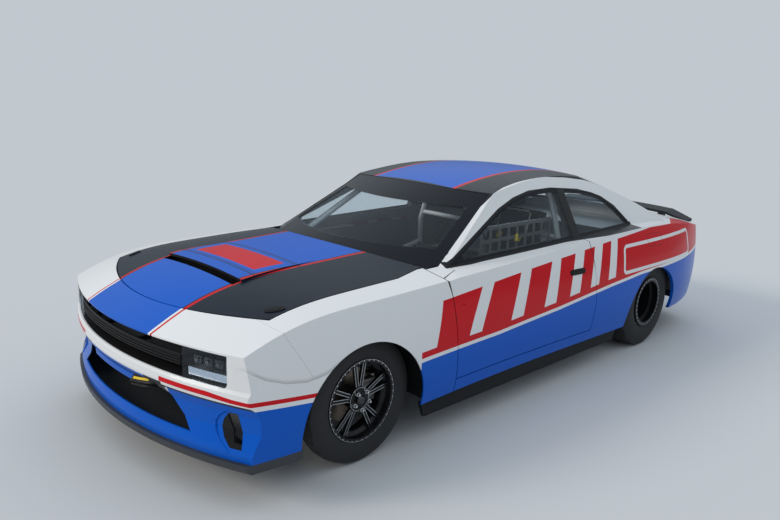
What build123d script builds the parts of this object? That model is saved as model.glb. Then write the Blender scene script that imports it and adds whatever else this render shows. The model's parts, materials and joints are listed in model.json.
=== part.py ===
from build123d import *
import os
from math import asin, atan, cos, degrees, pi, sin, sqrt

os.makedirs("parts", exist_ok=True)

# A two-door drag racing coupe. Millimetres, origin on the ground under the middle of the car.
# The front is -Y, the driver's side is +X, and +Z is up.

# Whole car
overall_length = 5248.0
nose_y = -overall_length / 2
tail_y = overall_length / 2
wheelbase = 3074.0
front_axle_y = -1680.0
rear_axle_y = front_axle_y + wheelbase
nose_plan_radius = 2226.0
tail_plan_radius = 2730.0
nose_corner_radius = 60.0
nose_corner_x = 950.0
tail_corner_radius = 90.0
tail_corner_x = 873.5

# Clearances
shut_gap = 6.0
seam_gap = 0.8
glass_gap = 0.3
running_gap = 0.05
seat_gap = 0.3

# Wall thicknesses
panel_wall = 8.0
side_wall = 28.0
door_wall = 70.0
roof_wall = 30.0
glass_wall = 6.0
floor_wall = 4.0

# Lower body sections. Columns: y, sill half width, widest half width, height of the widest,
# shoulder half width, shoulder height, height on the centre line.
sill_z = 252.0
body_sections = [
    (nose_y - 80, 880.0, 885.0, 500.0, 866.0, 655.0, 708.0),
    (nose_y + 174, 930.0, 938.0, 500.0, 902.0, 752.0, 848.0),
    (nose_y + 424, 962.0, 972.0, 540.0, 918.0, 846.0, 938.0),
    (front_axle_y, 984.0, 1000.0, 600.0, 936.0, 905.0, 997.0),
    (front_axle_y + 580, 968.0, 992.0, 600.0, 932.0, 922.0, 1024.0),
    (front_axle_y + 1680, 962.0, 990.0, 620.0, 905.0, 950.0, 1032.0),
    (rear_axle_y, 986.0, 1014.0, 650.0, 918.0, 992.0, 1052.0),
    (rear_axle_y + 520, 958.0, 990.0, 660.0, 898.0, 960.0, 1030.0),
    (tail_y - 174, 840.0, 862.0, 660.0, 828.0, 888.0, 955.0),
    (tail_y + 80, 740.0, 770.0, 660.0, 750.0, 850.0, 915.0),
]

# The nose and splitter seen from the side. Columns: height, setback from the foremost point.
nose_profile = [
    (150.0, 60.0),
    (196.0, 30.0),
    (216.0, 4.0),
    (251.0, 0.0),
    (252.0, 20.0),
    (286.0, 16.0),
    (312.0, 22.0),
    (392.0, 48.0),
    (472.0, 44.0),
    (514.0, 26.0),
    (532.0, 9.0),
    (556.0, 3.0),
    (586.0, 5.0),
    (602.0, 15.0),
    (700.0, 14.0),
    (1200.0, 10.0),
]

# Greenhouse outlines in plan, level by level. Columns: z, windscreen y on the centre line,
# front corner half width, front corner y, half width beside the driver, rear corner half width,
# rear corner y, rear window y on the centre line.
greenhouse_levels = [
    (880.0, -1500.0, 835.0, -1080.0, 885.0, 862.0, 2060.0, 2420.0),
    (1020.0, -1190.0, 774.0, -852.0, 810.0, 806.0, 1730.0, 2080.0),
    (1170.0, -858.0, 708.0, -607.0, 728.0, 722.0, 1380.0, 1680.0),
    (1335.0, -492.0, 637.0, -337.0, 641.0, 632.0, 880.0, 1200.0),
    (1480.0, -171.0, 573.0, -100.0, 540.0, 545.0, 300.0, 650.0),
]
greenhouse_mid_y = 200.0
roof_top_z = 1437.0
roof_mid_y = 343.0
roof_long_radius = 3590.0
roof_cross_radius = 5000.0

# Panel edges seen from the side, as (y, z)
fascia_seam = [(-2330.0, 960.0), (-2215.0, 845.0), (-2082.0, 618.0), (-2050.0, 600.0), (-1900.0, 590.0)]
door_front_edge = [(-1105.0, 985.0), (-1066.0, 840.0), (-1036.0, 548.0), (-1018.0, 335.0)]
door_rear_edge = [(455.0, 335.0), (470.0, 548.0), (462.0, 840.0), (440.0, 1000.0)]
tail_seam_y = 2180.0

# Where the door's top meets the fender and the front corner of its glass, as (x, y)
door_top_front = (905.0, -1105.0)
door_glass_front = (846.0, -931.0)

# Hood and deck lid
hood_front_y = -2440.0
hood_half_width = 785.0
hood_rear_y = -1268.0
hood_corner_y = -1105.0
hood_side_front_y = -2195.0
hood_side_rear_y = -1350.0
hood_corner_x = 728.0
hood_wall = 8.0
cowl_drop = 14.0
lid_front_y = 2112.0
lid_front_corner_y = 1967.0
lid_rear_y = 2560.0
lid_rear_corner_y = 2470.0
lid_half_width = 700.0

# Floor
floor_z = 272.0
floor_top = floor_z + floor_wall
fire_half_width = 800.0

# Side window outline, as (y, z)
window_front = (-931.0, 962.0)
window_top_front = (-346.0, 1218.0)
window_top_mid = (30.0, 1308.0)
window_top_rear = (640.0, 1285.0)
window_rear_mid = (940.0, 1215.0)
window_rear = (1205.0, 1010.0)
pillar_front_y = 372.0
pillar_width = 88.0

# Wheels and tyres
front_tyre_radius = 354.0
front_tyre_width = 142.0
front_tyre_face_x = 903.0
front_rim_width = 128.0
rear_tyre_radius = 372.0
rear_tyre_width = 272.0
rear_tyre_face_x = 962.0
rear_rim_width = 262.0
front_tyre_x = front_tyre_face_x - front_tyre_width / 2
rear_tyre_x = rear_tyre_face_x - rear_tyre_width / 2
tyre_wall = 12.0

# Wheel arches
front_arch_radius = 415.0
liner_radius = 470.0
front_arch_y = -1722.0
front_arch_z = 292.0
rear_arch_radius = 408.0
rear_arch_y = 1378.0
rear_arch_z = 262.0

# Steering
kingpin_x = 726.0
driver_x = 365.0


def block(x0, x1, y0, y1, z0, z1):
    """A box between opposite corners."""
    solid = Box(abs(x1 - x0), abs(y1 - y0), abs(z1 - z0))
    return Pos((x0 + x1) / 2, (y0 + y1) / 2, (z0 + z1) / 2) * solid


def rod_x(radius, x0, x1, y, z):
    """A round bar across the car."""
    return Pos((x0 + x1) / 2, y, z) * Rot(0, 90, 0) * Cylinder(radius, abs(x1 - x0))


def rod_y(radius, x, y0, y1, z):
    """A round bar along the car."""
    return Pos(x, (y0 + y1) / 2, z) * Rot(90, 0, 0) * Cylinder(radius, abs(y1 - y0))


def rod_z(radius, x, y, z0, z1):
    """An upright round bar."""
    return Pos(x, y, (z0 + z1) / 2) * Cylinder(radius, abs(z1 - z0))


def rod(radius, start, end):
    """A round bar between two points."""
    a = Vector(*start)
    b = Vector(*end)
    plane = Plane(origin=a, z_dir=b - a)
    return plane * Pos(0, 0, (b - a).length / 2) * Cylinder(radius, (b - a).length)


def tube_run(radius, points, bend):
    """A bent round tube: straight runs joined by tangent arcs."""
    path = FilletPolyline(*points, radius=bend)
    start = Vector(*points[0])
    plane = Plane(origin=start, z_dir=Vector(*points[1]) - start)
    return sweep(plane * Circle(radius), path=path)


def side_plate(points, x0, x1):
    """A polygon seen from the side, as (y, z), run across the car from x0 to x1."""
    wire = Wire.make_polygon([(x0, y, z) for y, z in points], close=True)
    return Part() + Solid.extrude(Face(wire), Vector(x1 - x0, 0, 0))


def front_plate(points, y0, y1):
    """A polygon seen from the front, as (x, z), run along the car from y0 to y1."""
    wire = Wire.make_polygon([(x, y0, z) for x, z in points], close=True)
    return Part() + Solid.extrude(Face(wire), Vector(0, y1 - y0, 0))


def plan_plate(points, z0, z1):
    """A polygon seen from above, as (x, y), run up from z0 to z1."""
    wire = Wire.make_polygon([(x, y, z0) for x, y in points], close=True)
    return Part() + Solid.extrude(Face(wire), Vector(0, 0, z1 - z0))


def arcs_wire(*pieces):
    """A closed wire from (start, end) lines and (start, middle, end) arcs."""
    edges = [ThreePointArc(*p).edge() if len(p) == 3 else Line(*p).edge() for p in pieces]
    return Wire(edges)


def mirrored(solid):
    """The same piece on the other side of the car."""
    return solid.mirror(Plane.YZ)


def both(solid):
    """A piece and its mirror image."""
    return Part() + [solid, mirrored(solid)]


def save(name, solid):
    """Writes one node."""
    solid.label = name
    export_step(solid, f"parts/{name}.step")


# Body surfaces

def bowed_end(radius, corner_radius, corner_x, inset):
    """Half of a bowed end, from its middle out, as (x, distance from the bow's centre)."""
    big = radius - inset
    small = max(corner_radius - inset, 8.0)
    side = corner_x - inset
    sine = (side - small) / (big - small)
    cosine = sqrt(1 - sine ** 2)
    turn = (asin(sine) + pi / 2) / 2
    centre = (big - small) * cosine
    middle = (side - small + small * sin(turn), centre + small * cos(turn))
    return (big * sine, big * cosine), middle, (side, centre)


def plan_outline(inset):
    """The car seen from above: a bowed nose and tail with rounded corners between straight sides."""
    reach = 1200.0
    flare = 300.0
    nose_centre = nose_y + nose_plan_radius
    tail_centre = tail_y - tail_plan_radius
    nose_arc = bowed_end(nose_plan_radius, nose_corner_radius, nose_corner_x, inset)
    tail_arc = bowed_end(tail_plan_radius, tail_corner_radius, tail_corner_x, inset)
    nose = [(x, nose_centre - d, 0) for x, d in nose_arc]
    tail = [(x, tail_centre + d, 0) for x, d in tail_arc]
    nose.append((reach, nose[2][1] + flare, 0))
    tail.append((reach, tail[2][1] - flare, 0))
    nose_l = [(-x, y, 0) for x, y, z in nose]
    tail_l = [(-x, y, 0) for x, y, z in tail]
    wire = arcs_wire(
        (nose_l[0], (0, nose_y + inset, 0), nose[0]),
        (nose[0], nose[1], nose[2]),
        (nose[2], nose[3]),
        (nose[3], tail[3]),
        (tail[3], tail[2]),
        (tail[2], tail[1], tail[0]),
        (tail[0], (0, tail_y - inset, 0), tail_l[0]),
        (tail_l[0], tail_l[1], tail_l[2]),
        (tail_l[2], tail_l[3]),
        (tail_l[3], nose_l[3]),
        (nose_l[3], nose_l[2]),
        (nose_l[2], nose_l[1], nose_l[0]),
    )
    return Part() + Solid.extrude(Face(wire), Vector(0, 0, 2000))


def nose_face(inset):
    """Everything behind the shaped face of the nose, turned about the centre of its bow."""
    axis_y = nose_y + nose_plan_radius
    points = [(0, axis_y - nose_plan_radius + setback + inset, z) for z, setback in nose_profile]
    points += [(0, axis_y, nose_profile[-1][0]), (0, axis_y, nose_profile[0][0])]
    wire = Wire.make_polygon(points, close=True)
    return Part() + revolve(Face(wire), Axis((0, axis_y, 0), (0, 0, 1)), 360)


def body_loft(inset, drop):
    """The body below the windows with no ends, shrunk by an inset, its underside lowered by a drop."""
    wires = []
    for y, sill_x, wide_x, wide_z, shoulder_x, shoulder_z, crown_z in body_sections:
        low = sill_z - drop
        low_l = (-(sill_x - inset), y, low)
        low_r = (sill_x - inset, y, low)
        sill_l = (-(sill_x - inset), y, sill_z)
        sill_r = (sill_x - inset, y, sill_z)
        wide_l = (-(wide_x - inset), y, wide_z)
        wide_r = (wide_x - inset, y, wide_z)
        top_l = (-(shoulder_x - inset), y, shoulder_z - inset)
        top_r = (shoulder_x - inset, y, shoulder_z - inset)
        crown = (0, y, crown_z - inset)
        curve = [(sill_r, wide_r, top_r), (top_r, crown, top_l), (top_l, wide_l, sill_l)]
        if drop:
            wires.append(arcs_wire((low_l, low_r), (low_r, sill_r), *curve, (sill_l, low_l)))
        else:
            wires.append(arcs_wire((sill_l, sill_r), *curve))
    return Part() + Solid.make_loft(wires)


def lower_body(inset, drop):
    """The body below the windows between its nose and tail."""
    return body_loft(inset, drop) & plan_outline(inset)


def roof_dome(inset):
    """Everything under the crowned roof surface."""
    radius = roof_long_radius - inset
    axis_z = roof_top_z - roof_long_radius
    cross = roof_cross_radius - inset
    reach = 1100.0
    drop = cross - sqrt(cross ** 2 - reach ** 2)
    top = axis_z + radius
    low = roof_top_z - 1300.0
    wire = arcs_wire(
        ((-reach, roof_mid_y, low), (reach, roof_mid_y, low)),
        ((reach, roof_mid_y, low), (reach, roof_mid_y, top - drop)),
        ((reach, roof_mid_y, top - drop), (0, roof_mid_y, top), (-reach, roof_mid_y, top - drop)),
        ((-reach, roof_mid_y, top - drop), (-reach, roof_mid_y, low)),
    )
    axis = Axis((0, roof_mid_y, axis_z), (1, 0, 0))
    half = revolve(Face(wire), axis, 45)
    return half + revolve(Face(wire), axis, -45)


def greenhouse(inset):
    """The part of the body with the windows, shrunk by an inset."""
    side = inset * 1.15
    fall = inset * 1.1
    wires = []
    for z, screen_y, front_x, front_y, mid_x, rear_x, rear_y, back_y in greenhouse_levels:
        level = z - fall
        fl = (-(front_x - side), front_y, level)
        fr = (front_x - side, front_y, level)
        rl = (-(rear_x - side), rear_y, level)
        rr = (rear_x - side, rear_y, level)
        ml = (-(mid_x - side), greenhouse_mid_y, level)
        mr = (mid_x - side, greenhouse_mid_y, level)
        wires.append(arcs_wire((fl, (0, screen_y, level), fr), (fr, mr, rr),
                               (rr, (0, back_y, level), rl), (rl, ml, fl)))
    return (Part() + Solid.make_loft(wires)) & roof_dome(inset)


def window_face(grow):
    """The side window opening as one outline, grown by a margin."""
    wire = arcs_wire(
        ((0, *window_front), (0, *window_top_front)),
        ((0, *window_top_front), (0, *window_top_mid), (0, *window_top_rear)),
        ((0, *window_top_rear), (0, *window_rear_mid), (0, *window_rear)),
        ((0, *window_rear), (0, *window_front)),
    )
    if grow:
        wire = wire.offset_2d(grow)
    return Face(wire)


def side_window(grow):
    """The side window opening run through the body side."""
    face = Pos(450, 0, 0) * window_face(grow)
    return Part() + Solid.extrude(face, Vector(600, 0, 0))


screen_top_z = 1322.0
screen_top_x = 622.0
screen_base_z = 935.0
screen_base_x = 776.0
rear_glass_top_z = 1322.0
rear_glass_top_x = 560.0
rear_glass_base_z = 955.0
rear_glass_base_x = 700.0


def screen_plate(grow, top_x, top_z, base_x, base_z, y0, y1):
    """A windscreen or rear window outline seen from the front, run along the car."""
    crown = 22.0
    g = grow
    base_l = (-(base_x + g), y0, base_z - g)
    base_r = (base_x + g, y0, base_z - g)
    top_l = (-(top_x + g), y0, top_z + g)
    top_r = (top_x + g, y0, top_z + g)
    wire = arcs_wire((base_l, base_r), (base_r, top_r), (top_r, (0, y0, top_z + crown + g), top_l),
                     (top_l, base_l))
    return Part() + Solid.extrude(Face(wire), Vector(0, y1 - y0, 0))


def hood_outline(grow, z0, z1):
    """The hood seen from above, grown by a margin."""
    front = hood_front_y - grow
    side = hood_half_width + grow
    rear = hood_rear_y + grow
    front_y = hood_side_front_y - grow
    wire = arcs_wire(
        ((-side, front_y, z0), (0, front, z0), (side, front_y, z0)),
        ((side, front_y, z0), (side, hood_side_rear_y, z0)),
        ((side, hood_side_rear_y, z0), (hood_corner_x + grow, hood_corner_y + grow, z0)),
        ((hood_corner_x + grow, hood_corner_y + grow, z0), (0, rear, z0),
         (-hood_corner_x - grow, hood_corner_y + grow, z0)),
        ((-hood_corner_x - grow, hood_corner_y + grow, z0), (-side, hood_side_rear_y, z0)),
        ((-side, hood_side_rear_y, z0), (-side, front_y, z0)),
    )
    return Part() + Solid.extrude(Face(wire), Vector(0, 0, z1 - z0))


def lid_outline(grow):
    """The deck lid seen from above, grown by a margin. Its front edge follows the rear glass."""
    front = (0, lid_front_y - grow, 800)
    rear = (0, lid_rear_y + grow, 800)
    side = lid_half_width + grow
    front_l = (-side, lid_front_corner_y - grow, 800)
    front_r = (side, lid_front_corner_y - grow, 800)
    rear_l = (-side, lid_rear_corner_y + grow, 800)
    rear_r = (side, lid_rear_corner_y + grow, 800)
    wire = arcs_wire(
        (front_l, front, front_r), (front_r, rear_r), (rear_r, rear, rear_l), (rear_l, front_l)
    )
    return Part() + Solid.extrude(Face(wire), Vector(0, 0, 400))


top_surface = body_loft(0, 0)
under_surface = body_loft(panel_wall, 120)
outer = top_surface & plan_outline(0)
inner = under_surface & plan_outline(panel_wall)
inner_side = lower_body(side_wall, 120)
inner_door = lower_body(door_wall, 120)
house = greenhouse(0)
house_inner = greenhouse(roof_wall)
glass_outer = greenhouse(2)
glass_inner = greenhouse(2 + glass_wall)

front_arch = rod_x(front_arch_radius, 500, 1200, front_arch_y, front_arch_z)
rear_arch = rod_x(rear_arch_radius, 500, 1200, rear_arch_y, rear_arch_z)

thin_skin = outer - inner
side_skin = outer - inner_side
cowl_top = lower_body(cowl_drop, 0)
cowl_under = lower_body(cowl_drop + panel_wall, 120)
over_skin = lower_body(-seat_gap, 0)

fascia_points = fascia_seam + [(-1900, 0), (-3000, 0), (-3000, 960)]
fascia_zone = side_plate(fascia_points, -1200, 1200)


def door_zone(grow, x0, x1):
    """The door outline seen from the side, grown by a margin."""
    front = [(y - grow, z) for y, z in door_front_edge]
    rear = [(y + grow, z) for y, z in door_rear_edge]
    front[0] = (front[0][0] - grow, 1100)
    rear[-1] = (rear[-1][0], 1100)
    front[-1] = (front[-1][0], front[-1][1] - grow)
    rear[0] = (rear[0][0], rear[0][1] - grow)
    top_x, top_y = door_top_front
    low_x, low_y = door_glass_front
    plan = [(top_x - grow, -1300), (top_x - grow, top_y), (low_x - grow, low_y), (x0, low_y - grow),
            (x0, 700), (x1, 700), (x1, -1300)]
    return side_plate(front + rear, x0, x1) & plan_plate(plan, 0, 1200)


right_half = block(0, 1200, -3000, 3000, 0, 2000)

# Front end
slot_low_z = 600.0
slot_half_width = 822.0
slot_depth = 120.0
slot_wall = 3.5
slot_corner = 26.0
bar_setback = 26.0
bar_z = (654.0, 712.0)
bar_wall = 7.0
lamp_inner_x = 560.0
lens_setback = 23.0
lens_wall = 4.0
light_setback = 46.0
light_z = (612.0, 650.0)
splitter_low_z = 205.0
splitter_rear_y = -2290.0
splitter_side_rear_y = -2128.0
corner_vent = [(792.0, 472.0), (846.0, 476.0), (880.0, 336.0), (838.0, 340.0)]
intake_top = (430.0, 508.0)
intake_low = (600.0, 330.0)
lower_intake = [(-intake_top[0], intake_top[1]), intake_top, intake_low, (-intake_low[0], intake_low[1])]


def front_slot(x_half, z0, z1, radius, depth):
    """A wide opening with rounded ends, cut into the nose up to the underside of its top skin."""
    wire = Wire(RectangleRounded(2 * x_half, z1 - z0, radius).wire().edges())
    face = Plane(origin=(0, nose_y - 60, (z0 + z1) / 2), x_dir=(1, 0, 0), z_dir=(0, -1, 0)) * Face(wire)
    return (Part() + Solid.extrude(face, Vector(0, depth + 60, 0))) & under_surface


def make_front_fascia():
    fascia = ((outer & nose_face(0)) - (inner & nose_face(panel_wall))) & fascia_zone
    fascia -= hood_outline(shut_gap, 500, 1200)
    fascia -= front_slot(slot_half_width, slot_low_z, 900, slot_corner, 420)
    fascia -= front_plate(lower_intake, nose_y - 60, nose_y + 500)
    fascia -= both(front_plate(corner_vent, nose_y - 10, nose_y + 400))
    fascia -= both(front_arch)
    return fascia


def make_grille():
    """The dark box behind the slot with its ribbed bar, and the bars in the lower opening."""
    behind = panel_wall + seat_gap
    under = (Pos(0, 0, -seat_gap) * under_surface) & nose_face(behind)
    box_outer = block(-slot_half_width - slot_wall, slot_half_width + slot_wall, -3000, -2000,
                      slot_low_z - slot_wall, 900)
    box_inner = block(-slot_half_width, slot_half_width, -3000, -2000, slot_low_z, 900)
    ring = plan_outline(behind) - plan_outline(slot_depth + slot_wall)
    cavity = plan_outline(panel_wall - 1) - plan_outline(slot_depth)
    ceiling = Pos(0, 0, -seat_gap - slot_wall) * under_surface
    housing = (ring & box_outer & under) - (cavity & box_inner & ceiling)
    bar_half = lamp_inner_x - 10
    face = plan_outline(bar_setback) - plan_outline(bar_setback + bar_wall)
    housing += face & block(-bar_half, bar_half, -3000, -2000, bar_z[0], bar_z[1])
    ribs = plan_outline(bar_setback - 5) - plan_outline(bar_setback + 1)
    for z in (658.0, 672.0, 686.0):
        housing += ribs & block(-bar_half, bar_half, -3000, -2000, z, z + 6)
    stays = plan_outline(bar_setback + 1) - plan_outline(slot_depth + 1)
    for x in (-525, -175, 175, 525):
        housing += stays & block(x - 5, x + 5, -3000, -2000, 672, 694)
    band = (plan_outline(behind) & nose_face(behind)) - plan_outline(behind + 80)
    mesh = band & block(-620, 620, -3000, -2000, 404, 470)
    for z in (341.0, 357.0, 373.0, 389.0):
        mesh += band & block(-620, 620, -3000, -2000, z, z + 5)
    for x in range(-600, 601, 100):
        mesh += band & block(x - 4, x + 4, -3000, -2000, 340, 406)
    return housing + [mesh]


def make_headlamps():
    """A clear lens and a light bar behind it at each end of the slot."""
    under = Pos(0, 0, -slot_wall - 2 * seat_gap) * under_surface
    end_x = slot_half_width - seat_gap
    lens = plan_outline(lens_setback) - plan_outline(lens_setback + lens_wall)
    lens = lens & block(lamp_inner_x, end_x, -3000, -2000, slot_low_z + seat_gap, 900) & under
    light = plan_outline(light_setback) - plan_outline(slot_depth - seat_gap)
    light = light & block(lamp_inner_x + 12, end_x - 10, -3000, -2000, light_z[0], light_z[1])
    return both(lens) + both(light)


def make_splitter():
    """A flat blade under the nose that runs back along the sides to the front wheels."""
    low, high = splitter_low_z, sill_z - seat_gap
    plate = block(-1000, 1000, nose_y - 10, splitter_rear_y, low, high)
    plate += both(block(880, 1000, splitter_rear_y - 10, splitter_side_rear_y, low, high))
    return plate & nose_face(0) & lower_body(0, 80)


# Hinges of the hood and the deck lid: a lug between two cheeks on a pin across the car
lid_hinge_pin_r = 5.0
lug_half = 7.0
lug_radius = 11.0
cheek_inner = 8.5
cheek_outer = 14.5
cheek_half = 9.0
hood_pin = (660.0, -1095.0, 945.0)
hood_arm_reach = 75.0
hinge_pocket = 14.0
lid_pin = (640.0, 1950.0, 969.5)
lid_arm_reach = 62.0
lid_arm_step = 30.0
lid_slot_half = 10.0
scoop_half_width = 366.0
scoop_front_y = -2130.0
scoop_rear_y = -2062.0
scoop_lip_y = -2084.0
scoop_blend_y = -1560.0
scoop_rise = 14.0
scoop_floor_z = 905.0


def hinge_bore(pin):
    x, y, z = pin
    return rod_x(lid_hinge_pin_r + running_gap, x - 30, x + 30, y, z)


def hinge_cheeks(pin, outer_x, z0, z1):
    """The fixed side of a hinge: two cheeks with the pin through them."""
    x, y, z = pin
    cheeks = rod_x(lid_hinge_pin_r, x - outer_x, x + outer_x, y, z)
    for side in (-1, 1):
        cheeks += block(x + side * cheek_inner, x + side * outer_x, y - cheek_half, y + cheek_half, z0, z1)
        cheeks += rod_x(cheek_half, x + side * cheek_inner, x + side * outer_x, y, z)
    return cheeks


def make_scoop():
    """The bulge behind the hood's slot: the hood's own surface tilted up, with a tray under the slot."""
    half = scoop_half_width
    turn = -degrees(atan(scoop_rise / (scoop_blend_y - scoop_lip_y)))
    pivot = (0, scoop_blend_y, 1006)
    lifted = Pos(*pivot) * Rot(turn, 0, 0) * Pos(0, -scoop_blend_y, -1006) * top_surface
    plan = [(-half - 16, scoop_lip_y), (half + 16, scoop_lip_y), (half - 20, scoop_blend_y - 16),
            (-half + 20, scoop_blend_y - 16)]
    mouth = block(-half, half, scoop_front_y, scoop_rear_y, 850, 1100)
    bulge = (lifted & plan_plate(plan, 850, 1100)) - inner - (mouth & outer)
    tray = block(-half - 4, half + 4, scoop_front_y - 4, scoop_rear_y + 24, scoop_floor_z, 1100)
    tray -= block(-half, half, scoop_front_y, scoop_rear_y + 20, scoop_floor_z + 3, 1100)
    return bulge + (tray & outer)


def make_hood():
    x, y, z = hood_pin
    skin = (outer - lower_body(hood_wall, 120)) & hood_outline(0, 700, 1200)
    skin -= block(-scoop_half_width, scoop_half_width, scoop_front_y, scoop_rear_y, 850, 1100)
    arm = block(x - lug_half, x + lug_half, y - hood_arm_reach, y, z - 8, z + 8)
    arm += block(x - lug_half, x + lug_half, y - hood_arm_reach, y - 46, z - 8, z + 40)
    arm += rod_x(lug_radius, x - lug_half, x + lug_half, y, z)
    arm -= hinge_bore(hood_pin)
    return skin + make_scoop() + both(arm & outer)


def make_deck_lid():
    """The lid, with an arm on each side that reaches forward through a slot to its pin.

    The arm is low next to the pin, so that it stays clear of the rear window as the lid opens.
    """
    x, y, z = lid_pin
    skin = (outer - lower_body(hood_wall, 120)) & lid_outline(0)
    arm = block(x - lug_half, x + lug_half, y, y + lid_arm_reach, z - 4, z + 8)
    arm += block(x - lug_half, x + lug_half, y + lid_arm_step, y + lid_arm_reach, z - 4, z + 60)
    arm += rod_x(lug_radius, x - lug_half, x + lug_half, y, z)
    arm -= hinge_bore(lid_pin)
    return skin + both(arm & outer)


def make_spoiler():
    """A wing blade that follows the deck and turns down at its ends, on two feet."""
    y = 2400.0
    end_l = (-770, y, 918)
    end_r = (770, y, 918)
    bend_l = (-560, y, 972)
    bend_r = (560, y, 972)
    thick = 22
    low = [(x, y, z - thick) for x, y, z in (end_l, bend_l, (0, y, 990), bend_r, end_r)]
    edge = arcs_wire(
        (end_l, bend_l), (bend_l, (0, y, 990), bend_r), (bend_r, end_r), (end_r, low[4]),
        (low[4], low[3]), (low[3], low[2], low[1]), (low[1], low[0]), (low[0], end_l),
    )
    blade = Part() + Solid.extrude(Face(edge), Vector(0, 165, 14))
    blade -= lower_body(-shut_gap, 0)
    feet = both(block(480, 520, 2420, 2500, 860, 968)) - over_skin
    return (blade + feet) & plan_outline(2)


def make_fender():
    skin = thin_skin & right_half
    skin -= fascia_seam_cut
    skin -= hood_outline(shut_gap, 500, 1200)
    skin -= front_arch
    ahead = [(y - shut_gap, z) for y, z in reversed(door_front_edge)]
    ahead = [(ahead[0][0], 0)] + ahead + [(ahead[-1][0], 1200), (-3000, 1200), (-3000, 0)]
    skin = skin & side_plate(ahead, 0, 1200)
    return skin - cowl_zone(seam_gap)


fascia_seam_cut = side_plate([(y + seam_gap, z) for y, z in fascia_points], -1200, 1200)


def cowl_zone(grow):
    plan = [(-745 - grow, -1300), (745 + grow, -1300), (745 + grow, -880), (-745 - grow, -880)]
    return plan_plate(plan, 850, 1200)


# Doors turn about an upright pin behind their front edge
door_pin_x = 955.0
door_pin_y = -985.0
door_pin_r = 8.0
door_arm_half = 12.0
door_arm_height = 30.0
door_hinge_z = (420.0, 760.0)
door_pillar_x = 850.0
door_notch = 13.0
door_pin_reach = 16.0
door_nose_drop = 6.0
door_nose_z = 930.0
wedge_wall = 4.0


def make_door():
    skin = (outer - inner_door) & door_zone(0, 800, 1200)
    skin -= house
    turn = degrees(atan(door_nose_drop / (door_pin_y - door_top_front[1])))
    sunk = Pos(0, door_pin_y, door_nose_z) * Rot(turn, 0, 0) * Pos(0, -door_pin_y, -door_nose_z) * outer
    skin -= block(800, 935, -1200, door_pin_y, 850, 1000) - sunk
    for z in door_hinge_z:
        low = z - door_arm_height / 2 - 0.5
        high = z + door_arm_height / 2 + 0.5
        skin -= block(700, door_pin_x + door_notch, -1300, door_pin_y + door_notch, low, high)
        skin -= rod_z(door_pin_r + running_gap, door_pin_x, door_pin_y,
                      low - door_pin_reach, high + door_pin_reach)
    return skin


def make_door_glass():
    glass = (glass_outer - glass_inner) & right_half & side_window(-glass_gap)
    glass = (glass & block(500, 1200, -1400, pillar_front_y - shut_gap, 700, 1500)) - outer
    return glass - block(500, 1200, window_front[0] - 10, window_front[0] + 80, 900, window_front[1] + 4)


def make_quarter_glass():
    glass = (glass_outer - glass_inner) & right_half & side_window(-glass_gap)
    glass = glass & block(500, 1200, pillar_front_y + pillar_width + glass_gap, 1500, 700, 1500)
    return both(glass - outer)


def make_hinge_arms():
    """The fixed half of the door hinges: arms out of the pillar, each with its upright pin."""
    arms = Part()
    for z in door_hinge_z:
        low = z - door_arm_height / 2
        high = z + door_arm_height / 2
        arm = block(door_pillar_x - 2, door_pin_x, door_pin_y - door_arm_half,
                    door_pin_y + door_arm_half, low, high)
        arm += rod_z(door_arm_half, door_pin_x, door_pin_y, low, high)
        pin_low = low - door_pin_reach + 1
        pin_high = high + door_pin_reach - 1
        arm += rod_z(door_pin_r, door_pin_x, door_pin_y, pin_low, pin_high)
        arms += arm
    return arms


roof_half_width = 597.0
tail_lip_y = 2440.0
tail_step_z = 820.0


def make_body_side():
    """Quarter panel, sill, front post, roof rail and rear post in one pressing."""
    behind = [(y, z) for y, z in reversed(door_front_edge)]
    behind = [(behind[0][0], 0)] + behind + [(behind[-1][0], 1200), (3000, 1200), (3000, 0)]
    skin = side_skin & side_plate(behind, 0, 1200)
    skin -= block(0, 1200, tail_seam_y, 3000, 0, tail_step_z)
    skin -= block(0, 1200, tail_lip_y, 3000, 0, 2000)
    skin -= inner & block(0, lid_half_width + 22, 1500, 3000, 800, 1200)
    wedge = block(700, door_top_front[0], -1200, door_glass_front[1] + 10, 860, 1100)
    skin -= lower_body(wedge_wall, 120) & wedge
    upper = (house - house_inner) & right_half
    upper -= block(-1, roof_half_width + seat_gap, -1600, 2600, 800, 1600)
    upper -= inner_side
    panel = (skin - house_inner) + upper
    panel -= outer & block(-1, lid_half_width + shut_gap, 1500, 3000, 800, 1200)
    panel -= screen_plate(0, screen_top_x, screen_top_z, screen_base_x, screen_base_z, -1700, 0)
    panel -= screen_plate(0, rear_glass_top_x, rear_glass_top_z, rear_glass_base_x,
                          rear_glass_base_z, 900, 2300)
    strip = block(400, 1200, pillar_front_y, pillar_front_y + pillar_width, 700, 1500)
    panel -= side_window(0) - strip
    panel -= door_zone(shut_gap, 800, 1200) - house
    panel -= cowl_zone(seam_gap)
    panel -= rear_arch
    pillar = block(fire_half_width + seat_gap, door_pillar_x, -1060, -925, floor_top + seat_gap, 800)
    foot = block(door_pillar_x - 40, 955, -1000, -925, floor_top + seat_gap, 300)
    return panel + (pillar - house) + foot + make_hinge_arms()


def make_roof():
    roof = (house - house_inner) & block(-roof_half_width, roof_half_width, -700, 1500, 1200, 1600)
    roof -= screen_plate(0, screen_top_x, screen_top_z, screen_base_x, screen_base_z, -1700, 0)
    return roof - screen_plate(0, rear_glass_top_x, rear_glass_top_z, rear_glass_base_x,
                               rear_glass_base_z, 900, 2600)


def make_windscreen():
    plate = screen_plate(-glass_gap, screen_top_x, screen_top_z, screen_base_x, screen_base_z, -1700, 0)
    glass = (glass_outer - glass_inner) & plate
    glass -= lower_body(cowl_drop - seat_gap, 0)
    return glass - (outer - cowl_zone(-glass_gap))


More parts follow.
